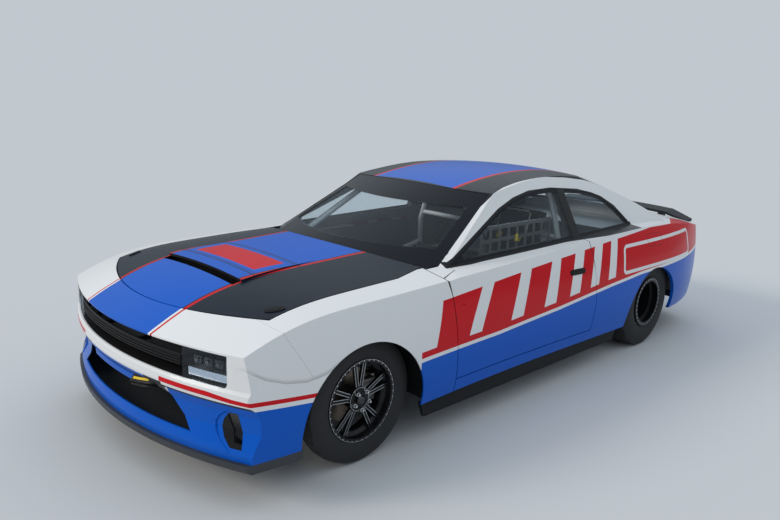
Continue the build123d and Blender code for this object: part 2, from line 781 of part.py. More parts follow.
def make_rear_window():
    plate = screen_plate(-glass_gap, rear_glass_top_x, rear_glass_top_z, rear_glass_base_x,
                         rear_glass_base_z, 900, 2300)
    return ((glass_outer - glass_inner) & plate) - outer


def make_cowl():
    """The sunk panel between hood and windscreen, with the hood's hinges in two pockets."""
    x, y, z = hood_pin
    cowl = (cowl_top - cowl_under) & cowl_zone(45)
    cowl &= block(-790, 790, -1300, -1115, 800, 1200) + block(-745, 745, -1116, -800, 800, 1200)
    cowl -= hood_outline(-20, 500, 1200)
    flange = (lower_body(panel_wall + seat_gap, 0) - cowl_under) & block(747, 790, -1300, -1115, 800, 1200)
    cowl += both(flange - hood_outline(shut_gap, 500, 1200))
    wall = hood_outline(22, shelf_z + seat_gap, 1200) - hood_outline(16, 500, 1200)
    wall = wall & cowl_top & block(-730, 730, -1300, -1000, 800, 1200)
    cowl = (cowl + wall) - house_inner
    cowl -= both(block(x - hinge_pocket, x + hinge_pocket, y - 110, y + 20, z - 25, 1200))
    cheeks = hinge_cheeks(hood_pin, hinge_pocket + 8, z, z + 40) & cowl_top
    return cowl + both(cheeks)


def make_rear_fascia():
    skin = thin_skin & block(-1200, 1200, tail_seam_y + seam_gap, 3000, 0, tail_step_z - seam_gap)
    skin += thin_skin & block(-1200, 1200, tail_lip_y + seam_gap, 3000, 700, 2000)
    skin -= front_plate([(-640, 700), (640, 700), (640, 780), (-640, 780)], 2500, 2700)
    return skin - lid_outline(shut_gap)


def make_tail_lamp():
    lens = plan_outline(6) - plan_outline(40)
    return lens & block(-640 + seat_gap, 640 - seat_gap, 2300, 2700, 700 + seat_gap, 780 - seat_gap)


def make_lower_trim():
    """The black skirts under the sills, the front arch liners and the diffuser under the tail."""
    skirt_top = sill_z - seat_gap
    skirt = side_plate([(-1290, skirt_top), (905, skirt_top), (870, 160), (-1260, 160)], 934, 956)
    valance = plan_outline(3) - plan_outline(15)
    valance &= block(-660, 660, 2330, 2700, 150, sill_z - seat_gap)
    liner = rod_x(liner_radius, 560, 1100, front_arch_y, front_arch_z)
    liner -= rod_x(liner_radius - 3, 500, 1200, front_arch_y, front_arch_z)
    liner = liner & block(500, 1200, -3000, 0, sill_z + 10, 1000) & lower_body(panel_wall + seat_gap, 120)
    return both(skirt) + [valance] + [liner, mirrored(liner)]


# Structure
rail_x = 430.0
rail_half = 30.0
rail_depth = 72.0
rail_rear_y = 2290.0
rail_rear_z = 380.0
tie_eye_y = 2340.0
shelf_z = 900.0
gearbox_radius = 60.0
gearbox_end_y = -700.0
gearbox_z = 345.0
tray_z = 896.0
boot_z = 560.0
tub_x = 620.0
tub_half = 424.0
tub_crown_half = 250.0
tub_top_z = 800.0
tub_shoulder_z = 590.0
tub_rear_low_z = 400.0
tunnel_half = 150.0
tunnel_top_z = 420.0
fire_y = -960.0
bulkhead_y = 1006.0


def make_tub(side, inside):
    """A wheel tub of flat sheets: an inner wall with a slot for the axle, and plates over the tyre."""
    t = floor_wall
    g = seat_gap
    half = tub_half
    low = floor_top + 2 * g
    profile = [(-half, low), (-half, tub_shoulder_z), (-tub_crown_half, tub_top_z),
               (tub_crown_half, tub_top_z), (half, tub_shoulder_z), (half, tub_rear_low_z)]
    cover = []
    for i, (y, z) in enumerate(profile):
        spread = t if i in (0, 1, 4, 5) else t * 0.45
        lift = 0 if i in (0, 5) else t if i in (2, 3) else t * 0.3
        cover.append((y + spread * (1 if y > 0 else -1), z + lift))
    wall_points = cover[:5] + [(half + t, low)]
    wall = side_plate([(rear_axle_y + y, z) for y, z in wall_points], side * tub_x, side * (tub_x + t))
    wall -= block(side * (tub_x - 10), side * (tub_x + 10), rear_axle_y - 52, rear_axle_y + 52, 200, 430)
    plates = [wall]
    for i in range(5):
        (y0, z0), (y1, z1) = profile[i], profile[i + 1]
        (v0, w0), (v1, w1) = cover[i], cover[i + 1]
        length = sqrt((y1 - y0) ** 2 + (z1 - z0) ** 2)
        dy, dz = (y1 - y0) / length * g / 2, (z1 - z0) / length * g / 2
        quad = [(y0 + dy, z0 + dz), (y1 - dy, z1 - dz), (v1 - dy, w1 - dz), (v0 + dy, w0 + dz)]
        quad = [(rear_axle_y + y, z) for y, z in quad]
        plates.append(side_plate(quad, side * (tub_x + t + g), side * 1100) & inside)
    return plates


def make_floor():
    """Floor, tunnel, firewall, bulkheads, boot floor, wheel tubs and parcel shelf in flat sheet,
    and the strip between rear window and deck lid."""
    inside = lower_body(side_wall + seat_gap, 120)
    t = floor_wall
    g = seat_gap
    half = tunnel_half
    top = tunnel_top_z
    tub_front = rear_axle_y - tub_half - t
    plates = [
        block(-half, half, fire_y + g, bulkhead_y - g, top - t, top),
        block(-half, half, fire_y - t, fire_y, top + g, shelf_z - t - g),
        block(-fire_half_width, fire_half_width, -1240, fire_y, shelf_z - t, shelf_z),
        block(-half, half, bulkhead_y, bulkhead_y + t, top + g, boot_z - g),
        block(-tub_x + g, tub_x - g, bulkhead_y, 2330, boot_z, boot_z + t),
        block(-tub_x + g, tub_x - g, 1420, 1424, boot_z + t + g, tray_z - t - g),
        block(-690, 690, 1420, 2070, tray_z - t, tray_z),
    ]
    for side in (-1, 1):
        pan = block(side * (half + g), side * 1000, fire_y + g, bulkhead_y - g, floor_z, floor_top) & inside
        plates.append(pan - block(side * (tub_x - g), side * 1100, tub_front - g, 1100, 200, 300))
        wall = side * half
        beside = side * (half + g)
        plates.append(block(wall - side * t, wall, fire_y + g, bulkhead_y - g, floor_z, top - t - g))
        plates.append(block(beside, side * fire_half_width, fire_y - t, fire_y, floor_z, shelf_z - t - g))
        plates.append(block(beside, side * (tub_x - g), bulkhead_y, bulkhead_y + t, floor_z, boot_z - g))
        tub_rear = rear_axle_y + tub_half + t + g
        plates.append(block(side * tub_x, side * 1000, tub_rear, 2330, boot_z, boot_z + t) & inside)
        plates += make_tub(side, inside)
    cheeks = hinge_cheeks(lid_pin, cheek_outer, tray_z + g, lid_pin[2])
    plates += [cheeks, mirrored(cheeks)]
    strip = (lower_body(g, 0) - inner) & block(-705.7, 705.7, 1500, 2200, 800, 1200)
    strip = strip - house_inner - lid_outline(shut_gap + 2)
    riser = lid_outline(22) - lid_outline(16)
    strip += riser & block(-690, 690, 1900, 2110, tray_z + g, 1200) & lower_body(2, 0)
    x, y, z = lid_pin
    strip -= both(block(x - lid_slot_half, x + lid_slot_half, y - 24, y + 90, z - 14, 1100))
    return Part() + plates + [strip]


def make_chassis():
    """Two box rails with crossmembers and outriggers between and beside them."""
    rail = side_plate([
        (-2290, 300), (-1170, 300), (-1000, floor_z - rail_depth), (1030, floor_z - rail_depth),
        (1190, 440), (1700, 440), (1860, rail_rear_z), (rail_rear_y, rail_rear_z),
        (rail_rear_y, rail_rear_z + rail_depth), (1880, rail_rear_z + rail_depth),
        (1720, 440 + rail_depth), (1170, 440 + rail_depth),
        (1012, floor_z - seat_gap), (-968, floor_z - seat_gap),
        (-1140, 300 + rail_depth), (-2290, 300 + rail_depth),
    ], rail_x - rail_half, rail_x + rail_half)
    frame = [rail, mirrored(rail)]
    near = rail_x - rail_half - seat_gap
    far = rail_x + rail_half + seat_gap
    for y, z in ((-2290, 300), (-1120, 226.7), (0, 200), (900, 200), (rail_rear_y - 50, rail_rear_z)):
        frame.append(block(-near, near, y, y + 50, z, z + rail_depth - 2))
    for y in (0, 900):
        outrigger = block(far, 852, y, y + 50, 200, 200 + rail_depth - 2)
        frame += [outrigger, mirrored(outrigger)]
    return Part() + frame


def make_tie_downs():
    """A flange on the tail end of each rail, with a plate and its eye for the trailer's strap."""
    x, y = rail_x, tie_eye_y
    low = rail_rear_z + 12
    high = low + 12
    foot = rail_rear_y + seat_gap
    tie = block(x - 24, x + 24, foot, foot + 8, rail_rear_z + 2, rail_rear_z + rail_depth - 2)
    tie += block(x - 20, x + 20, foot + 4, y - 20, low, high)
    tie += rod_z(34, x, y, low, high) - rod_z(19, x, y, low - 4, high + 4)
    return both(tie)


def make_engine():
    """The engine as one plain mass, with its sump, bell housing and gearbox tail."""
    low = side_plate([(-2020, 330), (-1230, 330), (-1230, 760), (-2020, 700)], -250, 250)
    sump = block(-150, 150, -1950, -1350, 190, 332)
    bell = side_plate([(-1231, 300), (-972, 298), (-972, 460), (-1231, 600)], -170, 170)
    return low + sump + bell + rod_y(gearbox_radius, 0, -980, gearbox_end_y, gearbox_z)


def make_radiator():
    return block(-380, 380, -2288, -2236, 370 + seat_gap, 800)


def make_exhaust():
    r = 34
    pipe = tube_run(r, [(250.3 + r, -1500, 360), (330, -1180, 180), (330, -600, 162), (330, 500, 162)], 120)
    return both(pipe)


dash_bar = (-850.0, 800.0)


def make_cage():
    r = 21.0
    brace_r = 18.0
    foot_z = floor_top + seat_gap
    hoop = tube_run(r, [(690, 420, foot_z), (690, 420, 900), (560, 420, 1325), (-560, 420, 1325),
                        (-690, 420, 900), (-690, 420, foot_z)], 90)
    parts = [hoop]
    for side in (-1, 1):
        front = tube_run(r, [(side * 545, 420, 1325), (side * 545, -270, 1297), (side * 700, -850, 905),
                             (side * 700, -850, foot_z)], 90)
        parts.append(front)
        parts.append(rod(brace_r, (side * 700, -850, 700), (side * 690, 420, 420)))
        parts.append(rod(brace_r, (side * 700, -850, 425), (side * 690, 420, 705)))
        parts.append(rod(brace_r, (side * 500, 422, 1325), (side * 470, 1320, 600)))
        parts.append(rod_z(22, side * 470, 1320, boot_z + floor_wall + seat_gap, 615))
    parts.append(rod(brace_r, (-548, -240, 1298), (548, -240, 1298)))
    parts.append(rod(brace_r, (-672, 420, 960), (672, 420, 960)))
    parts.append(rod_x(brace_r, -700, 700, dash_bar[0], dash_bar[1]))
    parts.append(rod(brace_r, (-530, 420, 1318), (640, 420, 400)))
    cage = parts[0]
    for piece in parts[1:]:
        cage += piece
    return cage


seat_half = 212.0


def make_seat():
    """A one-piece bucket seat with raised sides."""
    outline = [
        (-265, 300), (205, 290), (275, 560), (395, 1130), (315, 1150), (175, 600), (95, 430), (-265, 430),
    ]
    x0 = driver_x - seat_half
    x1 = driver_x + seat_half
    shell = side_plate(outline, x0, x1)
    inner_line = [
        (-405, 345), (125, 330), (195, 560), (315, 1200), (95, 1200), (45, 620), (-85, 560), (-405, 560),
    ]
    hollow = side_plate(inner_line, x0 + 28, x1 - 28)
    base = block(x0 + 40, x1 - 40, -215, 165, floor_top + seat_gap, 305)
    return (shell - hollow) + base


def make_dash():
    body = side_plate([(-955, 900), (-700, 905), (-640, 860), (-680, 730), (-955, 700)], -655, 655)
    return body - rod_x(18 + seat_gap, -700, 700, dash_bar[0], dash_bar[1])


column_top = (driver_x, -470.0, 800.0)
column_low = (driver_x, -958.0, 640.0)


def along(share):
    a = Vector(*column_top)
    b = Vector(*column_low)
    return a + (b - a) * share


def column_rod(radius, s0, s1):
    return rod(radius, tuple(along(s0)), tuple(along(s1)))


def make_column():
    return column_rod(24, 0.10, 0.97) - column_rod(11 + running_gap, 0.05, 0.30)


def make_steering_wheel():
    a = Vector(*column_top)
    plane = Plane(origin=a, x_dir=(1, 0, 0), z_dir=Vector(*column_low) - a)
    ring = plane * Torus(160, 14)
    hub = column_rod(34, -0.03, 0.05)
    shaft = column_rod(11, 0.04, 0.28)
    spokes = Part()
    for angle in (0, 120, 240):
        spokes += plane * Rot(0, 0, angle + 90) * Pos(85, 0, 0) * Box(150, 26, 5)
    return ring + hub + shaft + spokes


# Front suspension
lower_ball_z = 240.0
upper_ball_z = 496.0
spindle_r = 18.0


def arm_pair(z, inner_x, spread, r):
    """A wishbone: two round legs from the frame to one boss on the steering axis."""
    tip = (kingpin_x, front_axle_y, z)
    front_leg = rod(r, (inner_x, front_axle_y - spread, z), tip)
    legs = front_leg + rod(r, (inner_x, front_axle_y + spread, z), tip)
    legs += rod_y(r + 6, inner_x, front_axle_y - spread - 20, front_axle_y + spread + 20, z)
    legs += rod_z(24, kingpin_x, front_axle_y, z - 15, z + 15)
    return legs - rod_z(9 + running_gap, kingpin_x, front_axle_y, z - 40, z + 40)


def make_front_suspension():
    """Two wishbones and a damper on each side, and the steering rack between the rails."""
    y = front_axle_y
    side_x = rail_x + rail_half
    side = arm_pair(lower_ball_z, side_x + 22, 150, 13)
    side += block(rail_x - 20, side_x + 34, y - 170, y + 170, lower_ball_z - 10, 300 - seat_gap)
    side += block(rail_x - 20, side_x + 34, y - 110, y + 110, 300 + rail_depth + seat_gap, 680)
    side += arm_pair(upper_ball_z, side_x + 34, 90, 11)
    side += rod_y(12, 612, y - 80, y + 80, lower_ball_z)
    side += rod(24, (606, y, 280), (548, y, 640))
    side += rod(11, (612, y, lower_ball_z), (604, y, 290))
    side += block(side_x, 575, y - 35, y + 35, 636, 660)
    rack = rod_x(26, -rail_x + rail_half + seat_gap, rail_x - rail_half - seat_gap, y - 305, 290)
    return both(side) + [rack]


def make_knuckle():
    body = rod_z(23, kingpin_x, front_axle_y, lower_ball_z + 15.3, upper_ball_z - 15.3)
    body += rod_z(9, kingpin_x, front_axle_y, lower_ball_z - 14, upper_ball_z + 14)
    body += rod_x(40, kingpin_x - 20, kingpin_x + 30, front_axle_y, front_tyre_radius)
    body += rod_x(spindle_r, kingpin_x, front_tyre_face_x - 30, front_axle_y, front_tyre_radius)
    body += block(kingpin_x - 12, kingpin_x + 12, front_axle_y - 125, front_axle_y, 290, 306)
    caliper = block(752, 808, front_axle_y + 78, front_axle_y + 168, 290, 418)
    caliper -= block(767, 793, front_axle_y + 60, front_axle_y + 158, 280, 430)
    bridge = block(kingpin_x, 760, front_axle_y + 20, front_axle_y + 95, 330, 378)
    return body + caliper + bridge


# Wheels
def turned(points, x):
    """A ring turned about an axle, from (offset along the axle, radius) points."""
    wire = Wire.make_polygon([(x + a, 0, r) for a, r in points], close=True)
    return revolve(Face(wire), Axis.X, 360)


def make_tyre(half, rim_half, rim_r, lip_r, tread_half, radius, x, y):
    """A tyre: beads on the rim's seats, bulged walls and a crowned tread, hollow inside."""
    def outline(inset):
        lip = lip_r + 1
        shoulder = radius - 12 - inset
        bead = rim_half - inset
        wall = half - inset
        tread = tread_half - inset
        return arcs_wire(
            ((x - bead, 0, rim_r), (x - bead, 0, lip)),
            ((x - bead, 0, lip), (x - wall, 0, (lip + shoulder) / 2), (x - tread, 0, shoulder)),
            ((x - tread, 0, shoulder), (x, 0, radius - inset), (x + tread, 0, shoulder)),
            ((x + tread, 0, shoulder), (x + wall, 0, (lip + shoulder) / 2), (x + bead, 0, lip)),
            ((x + bead, 0, lip), (x + bead, 0, rim_r)),
            ((x + bead, 0, rim_r), (x - bead, 0, rim_r)),
        )
    solid = revolve(Face(outline(0)), Axis.X, 360) - revolve(Face(outline(tyre_wall)), Axis.X, 360)
    return Pos(0, y, radius) * solid


def make_rim(rim_half, seat_r, lip_r, drop_r, x):
    """A rim barrel: flanges, bead seats and a drop centre."""
    t = 6.0
    w = rim_half
    profile = [
        (-w, lip_r), (-w + t, lip_r), (-w + t, seat_r), (-w + 34, seat_r), (-w + 46, drop_r),
        (w - 60, drop_r), (w - 46, seat_r), (w - t, seat_r), (w - t, lip_r), (w, lip_r),
        (w, seat_r - t), (w - 42, seat_r - t), (w - 56, drop_r - t),
        (-w + 42, drop_r - t), (-w + 30, seat_r - t), (-w, seat_r - t),
    ]
    return turned(profile, x)


front_seat_r = 216.0
front_lip_r = 227.0
rear_seat_r = 190.5
rear_lip_r = 204.0


def make_front_wheel():
    x = front_tyre_x
    w = front_rim_width / 2
    wheel = make_rim(w, front_seat_r, front_lip_r, 196.0, x)
    face = x + w - 26
    hub = rod_x(66, face - 34, face, 0, 0)
    wheel += hub
    for pair in range(5):
        for lean in (-9.5, 9.5):
            spoke = block(face - 22, face - 4, -9, 9, 50, front_seat_r - 3)
            wheel += Rot(pair * 72 + lean, 0, 0) * spoke
    disc = turned([(774 - x, 100), (786 - x, 100), (786 - x, 152), (774 - x, 152)], x)
    rim = face - 30
    hat_line = [(774, 55), (rim, 55), (rim, 62), (782, 62), (782, 104), (774, 104)]
    hat = turned([(along - x, radius) for along, radius in hat_line], x)
    wheel += disc + hat
    wheel -= rod_x(spindle_r + running_gap, 700, front_tyre_face_x - 29, 0, 0)
    return Pos(0, front_axle_y, front_tyre_radius) * wheel


axle_stub_r = 26.0
pinion_y = rear_axle_y - 190.0


def make_rear_wheel():
    x = rear_tyre_x
    w = rear_rim_width / 2
    wheel = make_rim(w, rear_seat_r, rear_lip_r, 168.0, x)
    ring = turned([(w - 1, 150), (w + 5, 150), (w + 5, rear_lip_r), (w - 1, rear_lip_r)], x)
    wheel += ring & turned([(w - 10, 170), (w + 10, 170), (w + 10, 300), (w - 10, 300)], x)
    centre_x = x - 30
    wheel += rod_x(70, centre_x - 30, centre_x + 16, 0, 0)
    for k in range(10):
        spoke = block(centre_x - 10, centre_x + 6, -14, 14, 50, 165)
        wheel += Rot(k * 36, 0, 0) * spoke
    wheel -= rod_x(axle_stub_r + running_gap, x - 200, centre_x + 5, 0, 0)
    return Pos(0, rear_axle_y, rear_tyre_radius) * wheel


def make_rear_axle():
    """The solid rear axle with its trailing links and dampers."""
    y = rear_axle_y
    z = rear_tyre_radius
    stub = rear_tyre_x - 30
    axle = rod_x(42, -645, 645, y, z) + rod_x(axle_stub_r, -stub, stub, y, z)
    axle += rod_x(135, -110, 110, y, z) + rod_y(70, 0, pinion_y, y, z)
    link_x = rail_x - rail_half - 16 - seat_gap
    for side in (-1, 1):
        axle += rod(16, (side * link_x, y - 20, z - 50), (side * link_x, 960, 236))
        axle += block(side * (link_x - 18), side * (link_x + 18), y - 60, y + 40, z - 90, z)
        axle += block(side * 280, side * 350, y, y + 130, z - 90, z - 30)
        axle += rod(26, (side * 315, y + 95, z - 60), (side * 300, y + 110, 545))
        axle += rod_z(16, side * 300, y + 110, 530, boot_z - seat_gap)
    return axle


def make_driveshaft():
    front_end = (0, gearbox_end_y + seat_gap + 1, gearbox_z)
    rear_end = (0, pinion_y - seat_gap - 1, rear_tyre_radius)
    return rod(42, front_end, rear_end)


def check(name, solid):
    box = solid.bounding_box()
    print(f"{name:18s} solids {len(solid.solids())} litres {solid.volume / 1e6:8.3f} "
          f"x {box.min.X:7.0f} {box.max.X:7.0f} y {box.min.Y:7.0f} {box.max.Y:7.0f} "
          f"z {box.min.Z:6.0f} {box.max.Z:6.0f}")


def add(name, solid):
    check(name, solid)
    save(name, solid)


def add_pair(name, solid):
    add(name + "_left", solid)
    add(name + "_right", mirrored(solid))


add("front_fascia", make_front_fascia())
add("grille", make_grille())
add("headlamps", make_headlamps())
add("splitter", make_splitter())
add("hood", make_hood())
add_pair("fender", make_fender())
add_pair("door", make_door())
add_pair("door_glass", make_door_glass())
add("quarter_glass", make_quarter_glass())
add_pair("body_side", make_body_side())
add("roof_panel", make_roof())
add("windscreen", make_windscreen())
add("rear_window", make_rear_window())
add("cowl_panel", make_cowl())
add("deck_lid", make_deck_lid())
add("spoiler", make_spoiler())
add("rear_fascia", make_rear_fascia())
add("tail_lamp", make_tail_lamp())
add("lower_trim", make_lower_trim())
add("floor_pan", make_floor())
add("chassis_frame", make_chassis())
add("tie_downs", make_tie_downs())
add("engine_block", make_engine())
add("radiator", make_radiator())
add("exhaust", make_exhaust())
add("driveshaft", make_driveshaft())
add("roll_cage", make_cage())
add("seat", make_seat())
add("dashboard", make_dash() + [make_column()])
add("steering_wheel", make_steering_wheel())
add("front_suspension", make_front_suspension())
add_pair("knuckle", make_knuckle())
add("rear_axle", make_rear_axle())
add_pair("front_wheel", make_front_wheel())
add_pair("front_tyre", make_tyre(front_tyre_width / 2, front_rim_width / 2 - 6, front_seat_r, front_lip_r, 57.0,
                                 front_tyre_radius, front_tyre_x, front_axle_y))
add_pair("rear_wheel", make_rear_wheel())
add_pair("rear_tyre", make_tyre(rear_tyre_width / 2, rear_rim_width / 2 - 6, rear_seat_r, rear_lip_r, 114.0,
                                rear_tyre_radius, rear_tyre_x, rear_axle_y))
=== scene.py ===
"""The looks of a drag racing car: finishes for the CAD's nodes, small pieces, floor and light.

Metres. +X is the car's left, +Y its tail and +Z up. The nose is at -Y.
"""
import json
import math

import bmesh
import bpy
from mathutils import Matrix, Vector

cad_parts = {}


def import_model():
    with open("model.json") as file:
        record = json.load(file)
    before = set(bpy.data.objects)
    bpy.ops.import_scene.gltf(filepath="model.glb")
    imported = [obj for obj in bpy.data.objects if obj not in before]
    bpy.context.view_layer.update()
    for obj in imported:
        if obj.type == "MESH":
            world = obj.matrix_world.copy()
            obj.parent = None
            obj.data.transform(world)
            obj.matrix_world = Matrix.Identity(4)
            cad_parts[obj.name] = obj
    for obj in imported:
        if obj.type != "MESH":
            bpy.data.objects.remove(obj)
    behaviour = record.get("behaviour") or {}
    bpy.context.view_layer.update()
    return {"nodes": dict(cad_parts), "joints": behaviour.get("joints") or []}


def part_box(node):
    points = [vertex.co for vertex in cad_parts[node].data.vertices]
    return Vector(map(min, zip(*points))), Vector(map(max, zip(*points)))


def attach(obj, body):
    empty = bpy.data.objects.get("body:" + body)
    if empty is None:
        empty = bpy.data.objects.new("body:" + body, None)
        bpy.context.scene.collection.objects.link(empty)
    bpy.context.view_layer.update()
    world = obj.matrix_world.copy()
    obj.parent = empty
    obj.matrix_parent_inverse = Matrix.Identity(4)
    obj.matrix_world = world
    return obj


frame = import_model()
nodes = frame["nodes"]
joint_at = {joint["name"]: joint["pos_m"] for joint in frame["joints"]}

# Where the frame puts the left wheels' middles, and the x of the driver's middle
FRONT_AXLE = joint_at["front_left_spin"]
REAR_AXLE = joint_at["rear_left_spin"]
DRIVER = joint_at["steering_wheel_turn"][0]
SIDES = (("left", 1), ("right", -1))
# The bow of the nose is turned about an upright axis at this Y
NOSE_AXIS_Y = -0.398

# Colours, linear
WHITE = (0.76, 0.76, 0.76)
BLUE = (0.001, 0.098, 0.53)
RED = (0.58, 0.004, 0.010)
SLATE = (0.010, 0.016, 0.026)
BLACK = (0.010, 0.012, 0.016)
TRIM = (0.012, 0.012, 0.013)
DARK_RED = (0.10, 0.012, 0.018)

# The sockets of a colour mix node
MIX_SHARE, MIX_A, MIX_B, MIX_RESULT = 0, 6, 7, 2


class Val:
    """A value in a shader graph, so that patterns can be written as formulas."""

    def __init__(self, tree, socket):
        self.tree = tree
        self.socket = socket

    def op(self, kind, *others):
        node = self.tree.nodes.new("ShaderNodeMath")
        node.operation = kind
        for i, value in enumerate((self, *others)):
            if isinstance(value, Val):
                self.tree.links.new(value.socket, node.inputs[i])
            else:
                node.inputs[i].default_value = value
        return Val(self.tree, node.outputs[0])

    def __add__(self, other):
        return self.op("ADD", other)

    def __sub__(self, other):
        return self.op("SUBTRACT", other)

    def __mul__(self, other):
        return self.op("MULTIPLY", other)

    def __lt__(self, other):
        return self.op("LESS_THAN", other)

    def __gt__(self, other):
        return self.op("GREATER_THAN", other)

    def __and__(self, other):
        return self.op("MULTIPLY", other)

    def __or__(self, other):
        return self.op("MAXIMUM", other)

    def inverse(self):
        return (self * -1.0) + 1.0

    def size(self):
        return self.op("ABSOLUTE")

    def at_least(self, low):
        return self.op("MAXIMUM", low)

    def at_most(self, high):
        return self.op("MINIMUM", high)

    def between(self, low, high):
        return (self > low) & (self < high)

    def line(self, points):
        """A value read from straight runs between (input, output) points."""
        xs = [p[0] for p in points]
        ys = [p[1] for p in points]
        lo, hi = min(ys), max(ys)
        unit = (self - xs[0]) * (1.0 / (xs[-1] - xs[0]))
        node = self.tree.nodes.new("ShaderNodeFloatCurve")
        curve = node.mapping.curves[0]
        for x, y in points[1:-1]:
            curve.points.new((x - xs[0]) / (xs[-1] - xs[0]), (y - lo) / (hi - lo))
        curve.points[0].location = (0.0, (ys[0] - lo) / (hi - lo))
        curve.points[-1].location = (1.0, (ys[-1] - lo) / (hi - lo))
        for p in curve.points:
            p.handle_type = "VECTOR"
        node.mapping.extend = "HORIZONTAL"
        node.mapping.update()
        self.tree.links.new(unit.socket, node.inputs["Value"])
        return Val(self.tree, node.outputs[0]) * (hi - lo) + lo


def any_of(masks):
    """Where at least one of the masks is on."""
    total = masks[0]
    for mask in masks[1:]:
        total = total | mask
    return total


def rounded_box(u, v, centre, half, radius):
    """Distance from the outline of a rounded box, negative inside."""
    du = (u - centre[0]).size() - (half[0] - radius)
    dv = (v - centre[1]).size() - (half[1] - radius)
    a, b = du.at_least(0.0), dv.at_least(0.0)
    return (a * a + b * b).op("SQRT") + du.at_least(dv).at_most(0.0) - radius


class Paint:
    """A material with one main shader, and colours laid over each other by masks."""

    NOISE_DETAIL = 3.0
    NOISE_ROUGHNESS = 0.6

    def __init__(self, name, color, rough, metal=0.0, **values):
        self.mat = bpy.data.materials.new(name)
        self.mat.use_nodes = True
        self.tree = self.mat.node_tree
        self.shader = self.tree.nodes["Principled BSDF"]
        self.shader.inputs["Base Color"].default_value = (*color, 1)
        self.shader.inputs["Roughness"].default_value = rough
        self.shader.inputs["Metallic"].default_value = metal
        for key, value in values.items():
            self.shader.inputs[key.replace("_", " ")].default_value = value
        coords = self.tree.nodes.new("ShaderNodeTexCoord")
        self.coords = coords.outputs["Object"]
        split = self.tree.nodes.new("ShaderNodeSeparateXYZ")
        self.tree.links.new(self.coords, split.inputs[0])
        self.x, self.y, self.z = (Val(self.tree, s) for s in split.outputs)
        self.color = color
        self.color_socket = None

    def send_color(self, socket):
        """Feeds the colour so far into a node."""
        if self.color_socket is None:
            socket.default_value = (*self.color, 1)
        else:
            self.tree.links.new(self.color_socket, socket)

    def take_color(self, socket):
        """From here on, the colour is what a node gives."""
        self.color_socket = socket
        self.tree.links.new(socket, self.shader.inputs["Base Color"])

    def over(self, color, mask):
        """Lays a colour over the others where a mask is on."""
        node = self.tree.nodes.new("ShaderNodeMix")
        node.data_type = "RGBA"
        self.send_color(node.inputs[MIX_A])
        node.inputs[MIX_B].default_value = (*color, 1)
        self.tree.links.new(mask.socket, node.inputs[MIX_SHARE])
        self.take_color(node.outputs[MIX_RESULT])

    def noise(self, scale):
        """Cloudy values about 0.5."""
        node = self.tree.nodes.new("ShaderNodeTexNoise")
        node.inputs["Scale"].default_value = scale
        node.inputs["Detail"].default_value = self.NOISE_DETAIL
        node.inputs["Roughness"].default_value = self.NOISE_ROUGHNESS
        self.tree.links.new(self.coords, node.inputs["Vector"])
        return Val(self.tree, node.outputs["Fac"])

    def vary(self, amount, scale):
        """Small cloudy changes of colour."""
        node = self.tree.nodes.new("ShaderNodeHueSaturation")
        value = (self.noise(scale) - 0.5) * (amount * 2) + 1.0
        self.tree.links.new(value.socket, node.inputs["Value"])
        self.send_color(node.inputs["Color"])
        self.take_color(node.outputs[0])

    def roughness(self, low, high, scale):
        """Cloudy roughness between two values."""
        value = self.noise(scale) * (high - low) + low
        self.tree.links.new(value.socket, self.shader.inputs["Roughness"])

    def bump(self, height, strength, distance):
        node = self.tree.nodes.new("ShaderNodeBump")
        node.inputs["Strength"].default_value = strength
        node.inputs["Distance"].default_value = distance
        self.tree.links.new(height.socket, node.inputs["Height"])
        self.tree.links.new(node.outputs[0], self.shader.inputs["Normal"])


def plain(name, color, rough, metal=0.0, vary=0.08, scale=30.0, **values):
    """One colour with a little cloudiness in its shade and roughness."""
    least_rough, spread = 0.02, 0.08
    p = Paint(name, color, rough, metal, **values)
    p.vary(vary, scale)
    p.roughness(max(least_rough, rough - spread), rough + spread, scale)
    return p


def moved(points, rise):
    """The same edge, higher up."""
    return [(y, z + rise) for y, z in points]


# The paint scheme, as heights of its edges along the car: (y, z) points
RED_TOP = [(-2.624, 0.573), (-2.50, 0.573), (-2.45, 0.562), (-2.40, 0.560), (-2.08, 0.535),
           (-2.0, 0.530)]
RED_LOW = [(-2.624, 0.548), (-2.50, 0.548), (-2.45, 0.540), (-2.40, 0.539), (-2.08, 0.514),
           (-2.0, 0.509)]
BLUE_TOP = [(-2.624, 0.524), (-2.50, 0.524), (-2.45, 0.518), (-2.40, 0.517), (-2.08, 0.492),
            (-2.0, 0.487)]
SIDE_BLUE = [(-1.35, 0.516), (-1.283, 0.518), (-0.652, 0.529), (0.005, 0.567), (0.66, 0.622),
             (1.115, 0.653), (2.6, 0.690)]
SIDE_WHITE = moved(SIDE_BLUE, 0.022)
BAND_LOW = moved(SIDE_BLUE, 0.058)
BAND_TOP = [(-1.25, 0.818), (-1.178, 0.822), (-0.452, 0.867), (0.191, 0.906), (0.761, 0.948),
            (1.361, 0.985), (1.926, 0.97), (2.6, 0.93)]
# Gaps in the red band, as the y of (bottom front, bottom rear, top front, top rear)
GAPS = [(-0.935, -0.819, -0.790, -0.672), (-0.527, -0.400, -0.387, -0.270),
        (-0.169, -0.034, -0.030, 0.078), (0.131, 0.254, 0.256, 0.373),
        (0.392, 0.500, 0.509, 0.617), (0.630, 0.731, 0.735, 0.826)]
# The soft crease from the lamp's corner to the front arch
CREASE = [(-2.42, 0.731), (-2.325, 0.672), (-2.229, 0.638), (-2.115, 0.620), (-2.003, 0.634),
          (-1.937, 0.661), (-1.84, 0.705)]
